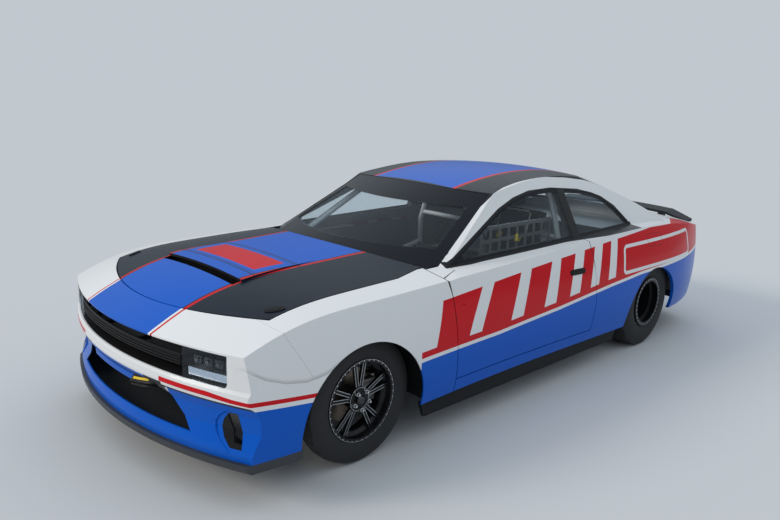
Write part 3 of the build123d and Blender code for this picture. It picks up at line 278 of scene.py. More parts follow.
# The upper outline of the side windows. Its ends are on the sill
WINDOW = [(-0.931, 0.962), (-0.346, 1.218), (-0.16, 1.275), (0.030, 1.308), (0.30, 1.313),
          (0.640, 1.285), (0.82, 1.25), (0.940, 1.215), (1.08, 1.14), (1.205, 1.010)]
SILL = [WINDOW[0], WINDOW[-1]]
# Half widths: of the nose's stripe along y, of the roof's black centre along y, and of the
# corner vent's dark mouth, from its inner to its outer edge, along z
NOSE_STRIPE = [(-2.624, 0.335), (-2.592, 0.352), (-2.50, 0.352), (-2.42, 0.350), (-2.3, 0.352)]
ROOF_EDGE = [(-0.5, 0.65), (-0.377, 0.646), (-0.209, 0.613), (-0.033, 0.599), (0.185, 0.598),
             (0.539, 0.608), (0.777, 0.621), (0.906, 0.634), (1.3, 0.66)]
VENT_INNER = [(0.308, 0.828), (0.351, 0.783), (0.395, 0.759), (0.44, 0.772), (0.480, 0.806)]
VENT_OUTER = [(0.308, 0.886), (0.478, 0.846)]
# Half widths of the stripe on roof and deck lid, with and without its red edge
STRIPE_RED, STRIPE_BLUE = 0.392, 0.366
# Half the width of the blue strip at the top of the intake
INTAKE_STRIP_HALF = 0.30
# Where the nose's paint ends and where the side's begins, before and behind the front wheel
NOSE_REAR, SIDE_FRONT = -1.9, -1.35
# A thin clear coat, as on the car's white paint
COAT = {"Coat_Weight": 0.12, "Coat_Roughness": 0.04, "Specular_IOR_Level": 0.12}
LIVERY_ROUGHNESS = 0.28


def paint_side(p, y, z):
    """A red band cut by slanted gaps, over a red line, a white line and the blue lower body."""
    band_front, line_front, lean, lean_z = -1.185, -1.38, 0.30, 0.72
    belt_line, red_line, bow = 0.99, 0.036, 0.35
    side = y > SIDE_FRONT
    white_line = y.line(SIDE_WHITE)
    band_low, band_top = y.line(BAND_LOW), y.line(BAND_TOP)
    slanted = y - (z - lean_z) * lean
    p.over(RED, side & (z < band_top) & (z > white_line) & (slanted > band_front) & (z < belt_line))
    # The gaps' edges bend a little as they rise
    share = (z - band_low).op("DIVIDE", band_top - band_low)
    bend = share * share * bow + share * (1.0 - bow)
    gaps = any_of([(y > bend * (top_front - front) + front) & (y < bend * (top_rear - rear) + rear)
                   for front, rear, top_front, top_rear in GAPS])
    p.over(WHITE, gaps & (z > band_low) & side)
    p.over(RED, side & (z - white_line).between(0.0, red_line) & (slanted > line_front))
    p.over(BLUE, side & (z < y.line(SIDE_BLUE)))


def paint_nose(p, x, y, z):
    """The lines round the nose and its corners, the intake's edges and the centre stripe."""
    red_from, blue_from, blue_z = 0.425, 0.45, 0.47
    strip_z, gap_to, gap_z = 0.543, 0.435, 0.546
    vent_low, vent_high, vent_rear = 0.312, 0.478, -2.38
    stripe_from_z = 0.70
    nose = y < NOSE_REAR
    p.over(RED, nose & (x > red_from) & (z < y.line(RED_TOP)) & (z > y.line(RED_LOW)))
    corner = (x > blue_from) & (z < y.line(BLUE_TOP))
    strip = (x < INTAKE_STRIP_HALF) & (z < strip_z)
    p.over(BLUE, nose & (corner | strip | (z < blue_z)))
    p.over(TRIM, nose & x.between(INTAKE_STRIP_HALF, gap_to) & z.between(blue_z, gap_z))
    # The corner vents reach further in than their holes
    mouth = (x > z.line(VENT_INNER)) & (x < z.line(VENT_OUTER)) & z.between(vent_low, vent_high)
    p.over(TRIM, mouth & (y < vent_rear))
    # Centre stripe: red edge, white line, blue middle
    stripe = y.line(NOSE_STRIPE)
    top = nose & (z > stripe_from_z)
    for color, grow in ((RED, 0.017), (WHITE, 0.004), (BLUE, -0.012)):
        p.over(color, top & (x < stripe + grow))


def window_edge(x, y, z):
    """The outline of the side windows, grown by the width of their black edge."""
    width, pillars_x = 0.016, 0.5
    top = y.line(moved(WINDOW, width * 1.1))
    low = y.line(moved(SILL, -width))
    front, rear = SILL[0][0] - width * 2.2, SILL[1][0] + width * 1.2
    return (z < top) & (z > low) & y.between(front, rear) & (x > pillars_x)


def paint_quarter(p, x, y, z):
    """A plain white frame on the rear quarter, and the thin line round the filler door."""
    side_x, half_frame_line, half_filler_line = 0.7, 0.0125, 0.0016
    middle_y, middle_z, lean, rise = 1.48, 0.80, 0.20, 0.006
    filler_y, filler_fall = 1.38, 0.03
    frame_line = rounded_box(y - (z - middle_z) * lean, z - (y - middle_y) * rise,
                             (middle_y, 0.795), (0.60, 0.095), 0.035)
    p.over(WHITE, (y > SIDE_FRONT) & (x > side_x) & (frame_line.size() < half_frame_line))
    filler = rounded_box(y, z + (y - filler_y) * filler_fall, (1.385, 0.890), (0.118, 0.048), 0.02)
    # Only the left side has the filler door
    p.over(DARK_RED, (p.x > side_x) & (filler.size() < half_filler_line))


def add_crease(p, x, y, z):
    """Rises sharply from the crease and fades out below it."""
    sharpness, fade, corner_x, depth = 42.0, 0.12, 0.86, 0.012
    front, front_fade, rear, rear_fade = -2.44, 14.0, -1.80, 8.0
    below = (y.line(CREASE) - z) * sharpness
    step = below.at_least(0.0).at_most(1.0)
    fall = ((below - 1.0) * fade).at_least(0.0).at_most(1.0)
    ends = ((y - front) * front_fade).at_most(1.0).at_most((y - rear) * -rear_fade).at_least(0.0)
    p.bump(step * step * (fall - 1.0) * ends * (x > corner_x), 1.0, depth)


def body_paint():
    p = Paint("body_paint", WHITE, LIVERY_ROUGHNESS, **COAT)
    x, y, z = p.x.size(), p.y, p.z
    paint_side(p, y, z)
    paint_nose(p, x, y, z)
    # The roof's black centre reaches out to the white rails
    roof_z, glass_z = 1.2, 0.95
    p.over(BLACK, (z > roof_z) & (x < y.line(ROOF_EDGE)) & y.between(-0.5, 1.25))
    p.over(TRIM, (z > glass_z) & window_edge(x, y, z))
    paint_quarter(p, x, y, z)
    p.vary(0.02, 1.5)
    add_crease(p, x, y, z)
    return p


def hood_paint():
    p = Paint("hood_paint", SLATE, 0.33, Coat_Weight=0.05, Coat_Roughness=0.2,
              Specular_IOR_Level=0.12)
    x, y = p.x.size(), p.y
    stripe = y.line([(-2.45, 0.352), (-2.09, 0.364), (-1.224, 0.378)])
    for color, grow in ((RED, 0.014), (BLACK, -0.006), (BLUE, -0.014)):
        p.over(color, x < stripe + grow)
    # A plain red panel between dark border lines behind the scoop
    border_half, panel_half, panel_front, panel_rear = 0.40, 0.30, -1.955, -1.755
    for front, rear in ((-2.005, -1.997), (-1.985, -1.980), (-1.725, -1.720), (-1.708, -1.700)):
        p.over(BLACK, (x < border_half) & y.between(front, rear))
    p.over(RED, (x < panel_half) & y.between(panel_front, panel_rear))
    p.roughness(0.28, 0.40, 40)
    return p


def roof_paint():
    p = Paint("roof_paint", BLACK, 0.25, Coat_Weight=0.12, Coat_Roughness=0.1,
              Specular_IOR_Level=0.12)
    stripe_front, stripe_rear = -0.44, 1.30
    x, y = p.x.size(), p.y
    p.over(RED, x < STRIPE_RED)
    p.over(BLUE, x < STRIPE_BLUE)
    p.over(BLACK, (y < stripe_front) | (y > stripe_rear))
    p.roughness(0.2, 0.3, 30)
    return p


def deck_paint():
    p = Paint("deck_paint", WHITE, LIVERY_ROUGHNESS, **COAT)
    x = p.x.size()
    p.over(RED, x < STRIPE_RED)
    p.over(BLUE, x < STRIPE_BLUE)
    p.vary(0.02, 1.5)
    return p


def mixed(tree, share, first, second):
    """A mix of two shaders, as the output of its node."""
    node = tree.nodes.new("ShaderNodeMixShader")
    tree.links.new(share.socket, node.inputs[0])
    tree.links.new(first, node.inputs[1])
    tree.links.new(second, node.inputs[2])
    return node.outputs[0]


def glass_paint(name, border_of, tint=(0.90, 0.93, 0.94)):
    """Thin clear glass that mirrors more when seen flat, with a black printed border."""
    least_mirrored, mirrored_more, falloff = 0.018, 0.22, 4.0
    p = Paint(name, BLACK, 0.12, IOR=1.45, Specular_IOR_Level=0.12)
    tree = p.tree
    clear = tree.nodes.new("ShaderNodeBsdfTransparent")
    clear.inputs["Color"].default_value = (*tint, 1)
    gloss = tree.nodes.new("ShaderNodeBsdfGlossy")
    gloss.inputs["Roughness"].default_value = 0.02
    gloss.inputs["Color"].default_value = (0.9, 0.95, 1.0, 1)
    layer = tree.nodes.new("ShaderNodeLayerWeight")
    layer.inputs["Blend"].default_value = 0.5
    facing = Val(tree, layer.outputs["Facing"])
    mirrored = facing.op("POWER", falloff) * mirrored_more + least_mirrored
    pane = mixed(tree, mirrored, clear.outputs[0], gloss.outputs[0])
    whole = mixed(tree, border_of(p), pane, p.shader.outputs[0])
    tree.links.new(whole, tree.nodes["Material Output"].inputs[0])
    return p


def end_border(low, high, half_widths):
    """The border of the windscreen or the rear window. Its clear middle lies between two heights
    and within the half widths, which are given along z."""
    return lambda p: (p.z.between(low, high) & (p.x.size() < p.z.line(half_widths))).inverse()


def side_border(p):
    """The border of the side windows, within their painted outline."""
    under_top, over_sill, front, rear = 0.016, 0.012, -0.80, 1.18
    top, low = p.y.line(moved(WINDOW, -under_top)), p.y.line(moved(SILL, over_sill))
    return ((p.z < top) & (p.z > low) & p.y.between(front, rear)).inverse()


def no_border(p):
    """Off everywhere, because nothing reaches this far to the right."""
    return p.x < -9.0


def dress(paint, *names):
    """Gives CAD nodes their material."""
    for name in names:
        mesh = nodes[name].data
        mesh.materials.clear()
        mesh.materials.append(paint.mat)
        mesh.polygons.foreach_set("material_index", [0] * len(mesh.polygons))


def dress_faces(paint, chosen, *names):
    """Gives some faces of CAD nodes another material. chosen tells which, from a face's normal
    and centre."""
    for name in names:
        mesh = nodes[name].data
        mesh.materials.append(paint.mat)
        last = len(mesh.materials) - 1
        for face in mesh.polygons:
            if chosen(face.normal, face.center):
                face.material_index = last


# Finishes of the CAD's nodes
dress(body_paint(), "front_fascia", "fender_left", "fender_right", "door_left", "door_right",
      "body_side_left", "body_side_right", "rear_fascia")
dress(deck_paint(), "deck_lid")
dress(hood_paint(), "hood")
dress(roof_paint(), "roof_panel")
dress(plain("spoiler_paint", BLACK, 0.4, vary=0.1, Specular_IOR_Level=0.12), "spoiler")
dress(glass_paint("windscreen_glass", end_border(1.035, 1.245, [(1.03, 0.672), (1.245, 0.585)])),
      "windscreen")
dress(glass_paint("rear_glass", end_border(1.02, 1.285, [(1.0, 0.63), (1.29, 0.53)])),
      "rear_window")
dress(glass_paint("side_glass", side_border),
      "door_glass_left", "door_glass_right", "quarter_glass")
trim = plain("trim_black", TRIM, 0.5, Specular_IOR_Level=0.15)
dress(trim, "grille", "cowl_panel", "lower_trim")
dress(plain("frame_black", (0.02, 0.02, 0.022), 0.4), "chassis_frame", "tie_downs")
dress(plain("knuckle_metal", (0.35, 0.34, 0.33), 0.35, 0.9), "knuckle_left", "knuckle_right")
dress(plain("wheel_black", (0.008, 0.008, 0.009), 0.35, Coat_Weight=0.15, Specular_IOR_Level=0.2),
      "front_wheel_left", "front_wheel_right", "rear_wheel_left", "rear_wheel_right")
dress(plain("lamp_red", (0.25, 0.005, 0.008), 0.12, Coat_Weight=1.0), "tail_lamp")
# Nodes with a material of their own: its name, colour, roughness and metal
for name, material, color, rough, metal in (
        ("splitter", "splitter_grey", (0.03, 0.034, 0.04), 0.45, 0.0),
        ("floor_pan", "sheet_aluminium", (0.35, 0.36, 0.37), 0.42, 0.9),
        ("engine_block", "engine_grey", (0.10, 0.10, 0.11), 0.5, 0.6),
        ("radiator", "radiator_core", (0.12, 0.12, 0.13), 0.5, 0.7),
        ("exhaust", "pipe_steel", (0.42, 0.40, 0.37), 0.3, 1.0),
        ("driveshaft", "shaft_steel", (0.45, 0.45, 0.46), 0.3, 1.0),
        ("roll_cage", "cage_white", (0.72, 0.73, 0.74), 0.3, 0.1),
        ("seat", "seat_black", (0.015, 0.015, 0.017), 0.45, 0.0),
        ("dashboard", "dash_grey", (0.02, 0.02, 0.024), 0.6, 0.0),
        ("steering_wheel", "rim_black", (0.015, 0.015, 0.015), 0.5, 0.0),
        ("front_suspension", "arm_black", (0.02, 0.02, 0.02), 0.4, 0.3),
        ("rear_axle", "axle_black", (0.02, 0.02, 0.02), 0.4, 0.3)):
    dress(plain(material, color, rough, metal), name)

# The lamps' outer solids are clear covers, the inner ones are light bars
LAMP_COVER_RADIUS = 2.19
dress(glass_paint("lamp_clear", no_border, (0.93, 0.95, 0.97)), "headlamps")
dress_faces(plain("light_bar", (0.72, 0.78, 0.84), 0.14, 0.9, vary=0.02),
            lambda n, c: math.hypot(c.x, c.y - NOSE_AXIS_Y) <= LAMP_COVER_RADIUS, "headlamps")

# The brake discs are part of the front wheels, inside of them
DISC_FACE_X, DISC_RADIUS = 0.7905, 0.154
dress_faces(plain("disc_metal", (0.17, 0.14, 0.11), 0.35, 1.0, vary=0.15, scale=60),
            lambda n, c: (abs(c.x) < DISC_FACE_X
                          and math.hypot(c.y - FRONT_AXLE[1], c.z - FRONT_AXLE[2]) < DISC_RADIUS),
            "front_wheel_left", "front_wheel_right")


def tyre_paint(name, axle, grooves):
    """Rubber with fine rings on its walls and round grooves on its tread. grooves are the
    distances of the grooves from the tyre's middle. The axle is as high as the tyre's radius."""
    centre_x, axle_y, radius = axle
    p = Paint(name, (0.016, 0.016, 0.017), 0.75)
    dy, dz = p.y - axle_y, p.z - radius
    r = (dy * dy + dz * dz).op("SQRT")
    wall, tread = r < radius - 0.018, r > radius - 0.016
    ring_rate, ring_height, rib_height, grain, groove_depth = 700.0, 0.15, 1.2, 0.2, 3.0
    fine_rings = (r * ring_rate).op("SINE") * ring_height
    ribs = r.between(radius * 0.70, radius * 0.715) | r.between(radius * 0.90, radius * 0.91)
    height = wall * (fine_rings + ribs * rib_height) + p.noise(900) * grain
    if grooves:
        x = p.x.size() - centre_x
        half_groove = 0.003
        cuts = any_of([x.between(g - half_groove, g + half_groove) for g in grooves])
        height = height - (tread & cuts) * groove_depth
        # The grooves are painted darker than the tread: painted shade in them
        p.over((0.006, 0.006, 0.006), tread & cuts)
    p.bump(height, 0.6, 0.002)
    # Rubbed and dusty patches
    p.over((0.030, 0.029, 0.028), tread & (p.noise(25) > 0.55))
    return p


dress(tyre_paint("front_rubber", FRONT_AXLE, (-0.036, -0.012, 0.012, 0.036)),
      "front_tyre_left", "front_tyre_right")
dress(tyre_paint("rear_rubber", REAR_AXLE, ()), "rear_tyre_left", "rear_tyre_right")


# The hood's scoop and its slot: half widths, ends along y, and the height of the slot's top
SLOT_HALF, SLOT_FRONT, SLOT_REAR, SLOT_TOP = 0.372, -2.135, -2.030, 0.925
SCOOP_HALF, SCOOP_FRONT, SCOOP_REAR = 0.40, -2.12, -1.45
STEEP = 0.6


def in_scoop_slot(n, c):
    """The faces inside the slot of the hood's scoop."""
    return (abs(c.x) < SLOT_HALF and SLOT_FRONT < c.y < SLOT_REAR
            and (n.z < STEEP or c.z < SLOT_TOP))


def on_scoop_side(n, c):
    """The upright sides of the hood's scoop."""
    return (abs(n.x) > STEEP and SCOOP_FRONT < c.y < SCOOP_REAR and abs(c.x) < SCOOP_HALF
            and not in_scoop_slot(n, c))


dress_faces(plain("hood_slate", SLATE, 0.4, vary=0.1, scale=40, Specular_IOR_Level=0.12),
            on_scoop_side, "hood")
dress_faces(trim, in_scoop_slot, "hood")

# The inner faces of the panels are dark and bare, and so are the edges inside their outer skin.
# A fascia's inner faces look down above its lower edge, or back below its top
OUTER_SKIN_X = 0.955
FASCIA_LOW, FASCIA_TOP = 0.3, 0.7
# How much of a face's normal has to point that way
LOOKS_IN, LOOKS_UNDER, LOOKS_ALONG, LOOKS_ENDWAYS = 0.25, 0.1, 0.5, 0.7
lining = plain("inner_lining", (0.035, 0.036, 0.038), 0.7, vary=0.1, scale=12)
for end, side in SIDES:
    dress_faces(lining, lambda n, c: (side * n.x < -LOOKS_IN
                                      or abs(n.y) > LOOKS_ENDWAYS and side * c.x < OUTER_SKIN_X),
                f"fender_{end}", f"door_{end}", f"body_side_{end}")
dress_faces(lining, lambda n, c: (n.z < -LOOKS_ALONG and c.z > FASCIA_LOW
                                  or n.y > LOOKS_ALONG and c.z < FASCIA_TOP), "front_fascia")
dress_faces(lining, lambda n, c: (n.z < -LOOKS_ALONG and c.z > FASCIA_LOW
                                  or n.y < -LOOKS_ALONG), "rear_fascia")
dress_faces(lining, lambda n, c: n.z < -LOOKS_UNDER, "hood", "roof_panel", "deck_lid")


# Shapes for the added pieces
def link(name, data):
    """A new object in the scene."""
    obj = bpy.data.objects.new(name, data)
    bpy.context.scene.collection.objects.link(obj)
    return obj


def turn_steps(count, shift=0.0):
    """Even steps round a circle, in radians."""
    return [2 * math.pi * (k + shift) / count for k in range(count)]


def round_axle(axle, radius, angle):
    """The y and z of a point at an angle round a wheel's axle."""
    return axle[1] + radius * math.sin(angle), axle[2] + radius * math.cos(angle)


def heading(path, i):
    """The direction of a path at one of its points."""
    return (path[min(i + 1, len(path) - 1)] - path[max(i - 1, 0)]).normalized()


def smooth_path(points, steps=6):
    """A rounded path through the points."""
    points = [Vector(p) for p in points]
    out = []
    n = len(points)
    for i in range(n - 1):
        p0, p1, p2, p3 = points[max(i - 1, 0)], points[i], points[i + 1], points[min(i + 2, n - 1)]
        for k in range(steps):
            t = k / steps
            out.append(0.5 * ((2 * p1) + (p2 - p0) * t + (2 * p0 - 5 * p1 + 4 * p2 - p3) * t * t
                              + (3 * p1 - p0 - 3 * p2 + p3) * t ** 3))
    out.append(points[-1])
    return out


def flat_ring(x0, x1, r0, r1):
    """The profile of a ring between two places on its axis and two radii."""
    return [(x0, r0), (x1, r0), (x1, r1), (x0, r1)]


class Form:
    """Simple shapes gathered in one mesh."""

    # Edges that turn by more than this, in radians, stay sharp
    SHARP = 0.6

    def __init__(self):
        self.bm = bmesh.new()

    def skin(self, rings, closed=False):
        """Rings of points joined into a tube, with flat ends or closed on itself."""
        rows = [[self.bm.verts.new(p) for p in ring] for ring in rings]
        count = len(rows[0])
        for one, two in zip(rows, rows[1:] + rows[:1] if closed else rows[1:]):
            for k in range(count):
                j = (k + 1) % count
                self.bm.faces.new((one[k], one[j], two[j], two[k]))
        if not closed:
            self.bm.faces.new(rows[0])
            self.bm.faces.new(list(reversed(rows[-1])))
        return self

    def box(self, low, high, bevel=0.0):
        """A box between two corners, with its edges rounded."""
        centre = [(a + b) / 2 for a, b in zip(low, high)]
        size = [b - a for a, b in zip(low, high)]
        place = Matrix.Translation(centre) @ Matrix.Diagonal((*size, 1))
        made = bmesh.ops.create_cube(self.bm, size=1.0, matrix=place)["verts"]
        if bevel:
            edges = list({e for v in made for e in v.link_edges})
            bmesh.ops.bevel(self.bm, geom=edges, offset=bevel, segments=2, affect="EDGES")
        return self

    def cylinder(self, start, end, radius, sides, top=None):
        """A round bar between two points, tapered where top gives its last radius."""
        a, b = Vector(start), Vector(end)
        turn = (b - a).to_track_quat("Z", "Y").to_matrix().to_4x4()
        place = Matrix.Translation((a + b) / 2) @ turn
        bmesh.ops.create_cone(self.bm, cap_ends=True, segments=sides, radius1=radius,
                              radius2=radius if top is None else top, depth=(b - a).length,
                              matrix=place)
        return self

    def turned(self, profile, centre, sides, side=1):
        """A closed ring about the X axis, from (x, radius) points. side is 1 or -1, for left or
        right."""
        return self.skin([[(centre[0] + side * x, *round_axle(centre, r, a)) for x, r in profile]
                          for a in turn_steps(sides)], closed=True)

    def tube(self, points, radius, sides=12):
        """A bent round tube through the points, closed at its ends."""
        path = [Vector(p) for p in points]
        rings = []
        for i, p in enumerate(path):
            ahead = heading(path, i)
            ref = Vector((0, 0, 1)) if abs(ahead.z) < 0.9 else Vector((0, 1, 0))
            u = ahead.cross(ref).normalized()
            v = ahead.cross(u)
            rings.append([p + (u * math.cos(t) + v * math.sin(t)) * radius
                          for t in turn_steps(sides)])
        return self.skin(rings)

    def strap(self, points, across, width, thick):
        """Flat webbing along the points. across is the direction of its width."""
        path = smooth_path(points)
        side = Vector(across).normalized() * (width / 2)
        rings = []
        for i, p in enumerate(path):
            up = heading(path, i).cross(side).normalized() * (thick / 2)
            rings.append([p - side - up, p + side - up, p + side + up, p - side + up])
        return self.skin(rings)

    def plate(self, outline, normal, depth=0.012):
        """A plate below an outline, sunk into what carries it."""
        return self.skin([outline, [p - normal * depth for p in outline]])

    def mirror(self):
        """Adds the same shapes on the other side of the car."""
        everything = self.bm.verts[:] + self.bm.edges[:] + self.bm.faces[:]
        made = bmesh.ops.duplicate(self.bm, geom=everything)["geom"]
        verts = [g for g in made if isinstance(g, bmesh.types.BMVert)]
        faces = [g for g in made if isinstance(g, bmesh.types.BMFace)]
        bmesh.ops.scale(self.bm, vec=(-1, 1, 1), verts=verts)
        bmesh.ops.reverse_faces(self.bm, faces=faces)
        return self

    def add(self, name, paint, body="body", slot="trim"):
        """Makes the piece, dresses it and lets it ride on a body."""
        bmesh.ops.recalc_face_normals(self.bm, faces=self.bm.faces[:])
        for face in self.bm.faces:
            face.smooth = True
        for edge in self.bm.edges:
            edge.smooth = edge.calc_face_angle(0.0) < self.SHARP
        mesh = bpy.data.meshes.new(name)
        self.bm.to_mesh(mesh)
        self.bm.free()
        mesh.materials.append(paint.mat)
        obj = link(name, mesh)
        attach(obj, body)
        return obj


def cushion(name, centre, size, tilt, paint, channels=0):
    """A crowned pad with sewn channels across it. Its face looks along local +Z before it is
    tilted about X."""
    cuts, channel_depth, channel_sharpness = 23, 0.16, 24
    form = Form()
    bmesh.ops.create_cube(form.bm, size=2.0)
    bmesh.ops.subdivide_edges(form.bm, edges=form.bm.edges[:], cuts=cuts, use_grid_fill=True)
    for v in form.bm.verts:
        x, y, z = v.co
        # The sides pull in towards the corners, and the face is highest in its middle
        round_x = (1 - 0.10 * abs(y) ** 4) * (1 - 0.06 * abs(z) ** 3)
        round_y = (1 - 0.08 * abs(x) ** 4) * (1 - 0.06 * abs(z) ** 3)
        crown = (1 - 0.35 * abs(x) ** 4) * (1 - 0.30 * abs(y) ** 4)
        if channels and z > 0.5:
            wave = max(0.0, math.cos(math.pi * channels * (y + 1)))
            crown -= channel_depth * wave ** channel_sharpness
        v.co = (x * round_x * size[0] / 2, y * round_y * size[1] / 2,
                z * (crown if z > 0 else 1) * size[2] / 2)
    place = Matrix.Translation(centre) @ Matrix.Rotation(tilt, 4, "X")
    bmesh.ops.transform(form.bm, matrix=place, verts=form.bm.verts)
    obj = form.add(name, paint, slot="seat_shell")


steel = plain("bare_steel", (0.42, 0.42, 0.43), 0.28, 1.0, vary=0.1, scale=60)
bright = plain("bright_edge", (0.62, 0.63, 0.64), 0.22, 1.0, vary=0.05, scale=80)
satin = plain("satin_black", (0.008, 0.008, 0.009), 0.5, Specular_IOR_Level=0.2)
gloss = plain("gloss_black", (0.006, 0.006, 0.007), 0.12, Coat_Weight=0.6)
yellow = plain("yellow_webbing", (0.80, 0.55, 0.02), 0.75, vary=0.12, scale=300)
grey_web = plain("grey_webbing", (0.11, 0.105, 0.10), 0.8, vary=0.15, scale=260)
red_part = plain("red_part", (0.55, 0.010, 0.016), 0.35)
blue_part = plain("blue_part", BLUE, 0.3, vary=0.04, Specular_IOR_Level=0.12)
cloth = plain("seat_cloth", (0.018, 0.018, 0.020), 0.85, vary=0.2, scale=400)
pale = plain("pale_frame", (0.62, 0.55, 0.45), 0.4)


# Wheels: where their hubs end, the radius of the tyre's seat, the number and radius of the rim's
# studs, and the finish of its edge
WHEELS = {"front": (0.870, 0.216, 40, 0.0035, steel), "rear": (0.812, 0.172, 32, 0.005, satin)}
WHEEL_NUTS = 5
NUT_CIRCLE, NUT_RADIUS, NUT_HEIGHT = 0.052, 0.0120, 0.024
TIP_HEIGHT, TIP_LOW_RADIUS, TIP_HIGH_RADIUS = 0.036, 0.0080, 0.0070
STUD_SINK, STUD_RISE = 0.001, 0.003
# The rim's bare edge is measured from the edge of its lip
RIM_EDGE = flat_ring(-0.002, 0.0012, -0.0005, -0.003)
CAP_PROFILE = [(0.0, 0.001), (0.0, 0.026), (0.014, 0.026), (0.020, 0.020), (0.022, 0.001)]


def wheel_pieces(kind, end, side, axle):
    """Nuts, cap and the rim's details for one wheel. side is 1 on the left, -1 on the right."""
    wheel = f"{kind}_wheel_{end}"
    centre = (0, *axle[1:])
    low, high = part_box(wheel)
    lip_x = max(abs(low[0]), abs(high[0]))
    lip_radius = high[2] - axle[2]
    hub_x, seat_radius, stud_count, stud_radius, edge_finish = WHEELS[kind]
    nuts = Form()
    nut_x, tip_x = hub_x + NUT_HEIGHT, hub_x + TIP_HEIGHT
    for angle in turn_steps(WHEEL_NUTS, 0.5):
        y, z = round_axle(axle, NUT_CIRCLE, angle)
        nuts.cylinder((side * hub_x, y, z), (side * nut_x, y, z), NUT_RADIUS, 6)
        nuts.cylinder((side * nut_x, y, z), (side * tip_x, y, z), TIP_LOW_RADIUS, 16,
                      TIP_HIGH_RADIUS)
    nuts.add(f"{kind}_nuts_{end}", bright, wheel, "steel")
    cap = Form().turned(CAP_PROFILE, (side * hub_x, *axle[1:]), 48, side)
    cap.add(f"{kind}_cap_{end}", gloss, wheel, "steel")
    studs = Form()
    for angle in turn_steps(stud_count):
        y, z = round_axle(axle, (seat_radius + lip_radius) / 2, angle)
        studs.cylinder((side * (lip_x - STUD_SINK), y, z), (side * (lip_x + STUD_RISE), y, z),
                       stud_radius, 8)
    studs.add(f"{kind}_rim_studs_{end}", bright, wheel, "steel")
    ring = Form().turned([(lip_x + x, lip_radius + r) for x, r in RIM_EDGE], centre, 96, side)
    ring.add(f"{kind}_rim_edge_{end}", edge_finish, wheel, "steel")


# The front wheels' paired spokes: the number of pairs, how far each spoke leans from its
# pair's middle in degrees, half its width, and the radii between which thin bright strips on its
# edges paint its highlights
SPOKE_PAIRS, SPOKE_LEAN, SPOKE_HALF = 5, 9.5, 0.0085
SPOKE_RADII = (0.072, 0.205)
SPOKE_FACE_X = (0.8657, 0.8668)
# Painted highlight: each bright strip on a spoke's edge is twice this wide
SPOKE_HIGHLIGHT_HALF = 0.0012
HUB_EDGE = flat_ring(0.8667, 0.8712, 0.0635, 0.0655)


def turned_about(point, angle):
    """A point turned about the front axle."""
    x, y, z = point
    _, cy, cz = FRONT_AXLE
    c, s = math.cos(angle), math.sin(angle)
    return x, cy + (y - cy) * c - (z - cz) * s, cz + (y - cy) * s + (z - cz) * c


def front_wheel_edges(end, side):
    """Bright metal strips on a front wheel: painted highlights along the spokes' edges, and the
    bare edge of the hub.
    """
    wheel = f"front_wheel_{end}"
    _, axle_y, axle_z = FRONT_AXLE
    near, far = SPOKE_RADII
    edges = Form()
    for k in range(SPOKE_PAIRS):
        for lean in (-SPOKE_LEAN, SPOKE_LEAN):
            angle = math.radians(k * 360 / SPOKE_PAIRS + lean)
            for middle in (axle_y - SPOKE_HALF, axle_y + SPOKE_HALF):
                edges.skin([[turned_about((side * x, middle + dy, axle_z + radius), angle)
                             for dy, radius in ((-SPOKE_HIGHLIGHT_HALF, near), (SPOKE_HIGHLIGHT_HALF, near),
                                                (SPOKE_HIGHLIGHT_HALF, far), (-SPOKE_HIGHLIGHT_HALF, far))]
                            for x in SPOKE_FACE_X])
    # The strips' bright metal is a painted highlight along each spoke's edge
    edges.add(f"front_spoke_highlights_{end}", bright, wheel, "steel")
    hub = Form().turned(HUB_EDGE, (0, axle_y, axle_z), 64, side)
    hub.add(f"front_hub_edge_{end}", bright, wheel, "steel")


for end, side in SIDES:
    wheel_pieces("front", end, side, FRONT_AXLE)
    wheel_pieces("rear", end, side, REAR_AXLE)
    front_wheel_edges(end, side)


# Seat, belts and window net on the driver's side. The belts' routes are (share of the
# distance between them and the driver's middle, y, z)
SQUARE = math.radians(90)
BELT_X = 0.085
SHOULDER_BELT = [(1.0, 0.315, 0.985), (1.0, 0.255, 0.965), (0.95, 0.185, 0.80),
                 (0.7, 0.125, 0.62), (0.4, 0.07, 0.47), (0.2, 0.01, 0.425)]
LAP_BELT = [(2.15, 0.10, 0.47), (1.5, 0.05, 0.435), (0.3, 0.005, 0.428)]


def seat_pieces():
    """Pads, belts with their buckles, and a pale frame round the driver's head."""
    cushion("seat_cushion", (DRIVER, -0.075, 0.372), (0.355, 0.36, 0.075), -0.03, cloth, 3)
    cushion("seat_back_pad", (DRIVER, 0.175, 0.66), (0.34, 0.50, 0.07), SQUARE - 0.20, cloth, 4)
    cushion("seat_head_pad", (DRIVER, 0.283, 1.035), (0.24, 0.17, 0.06), SQUARE - 0.19, cloth)
    belts, buckles = Form(), Form()
    for x in (-BELT_X, BELT_X):
        for route, across, width in ((SHOULDER_BELT, (1, 0, 0), 0.048),
                                     (LAP_BELT, (0, 0.5, 0.86), 0.046)):
            belts.strap([(DRIVER + x * share, y, z) for share, y, z in route], across, width, 0.003)
        for z, y in ((0.905, 0.232), (0.745, 0.172)):
            buckles.box((DRIVER + x - 0.028, y - 0.014, z - 0.012),
                        (DRIVER + x + 0.028, y + 0.006, z + 0.012), 0.003)
    buckles.box((DRIVER - 0.035, -0.025, 0.425), (DRIVER + 0.035, 0.035, 0.447), 0.006)
    belts.add("belts", yellow, slot="seat_shell")
    buckles.add("belt_buckles", satin, slot="seat_shell")
    half = [(-0.13, 0.262, 0.955), (-0.13, 0.306, 1.12), (-0.115, 0.309, 1.135)]
    route = half + [(-x, y, z) for x, y, z in reversed(half)]
    head_frame = Form().tube([(DRIVER + x, y, z) for x, y, z in route], 0.006)
    head_frame.add("seat_head_frame", pale, slot="seat_shell")


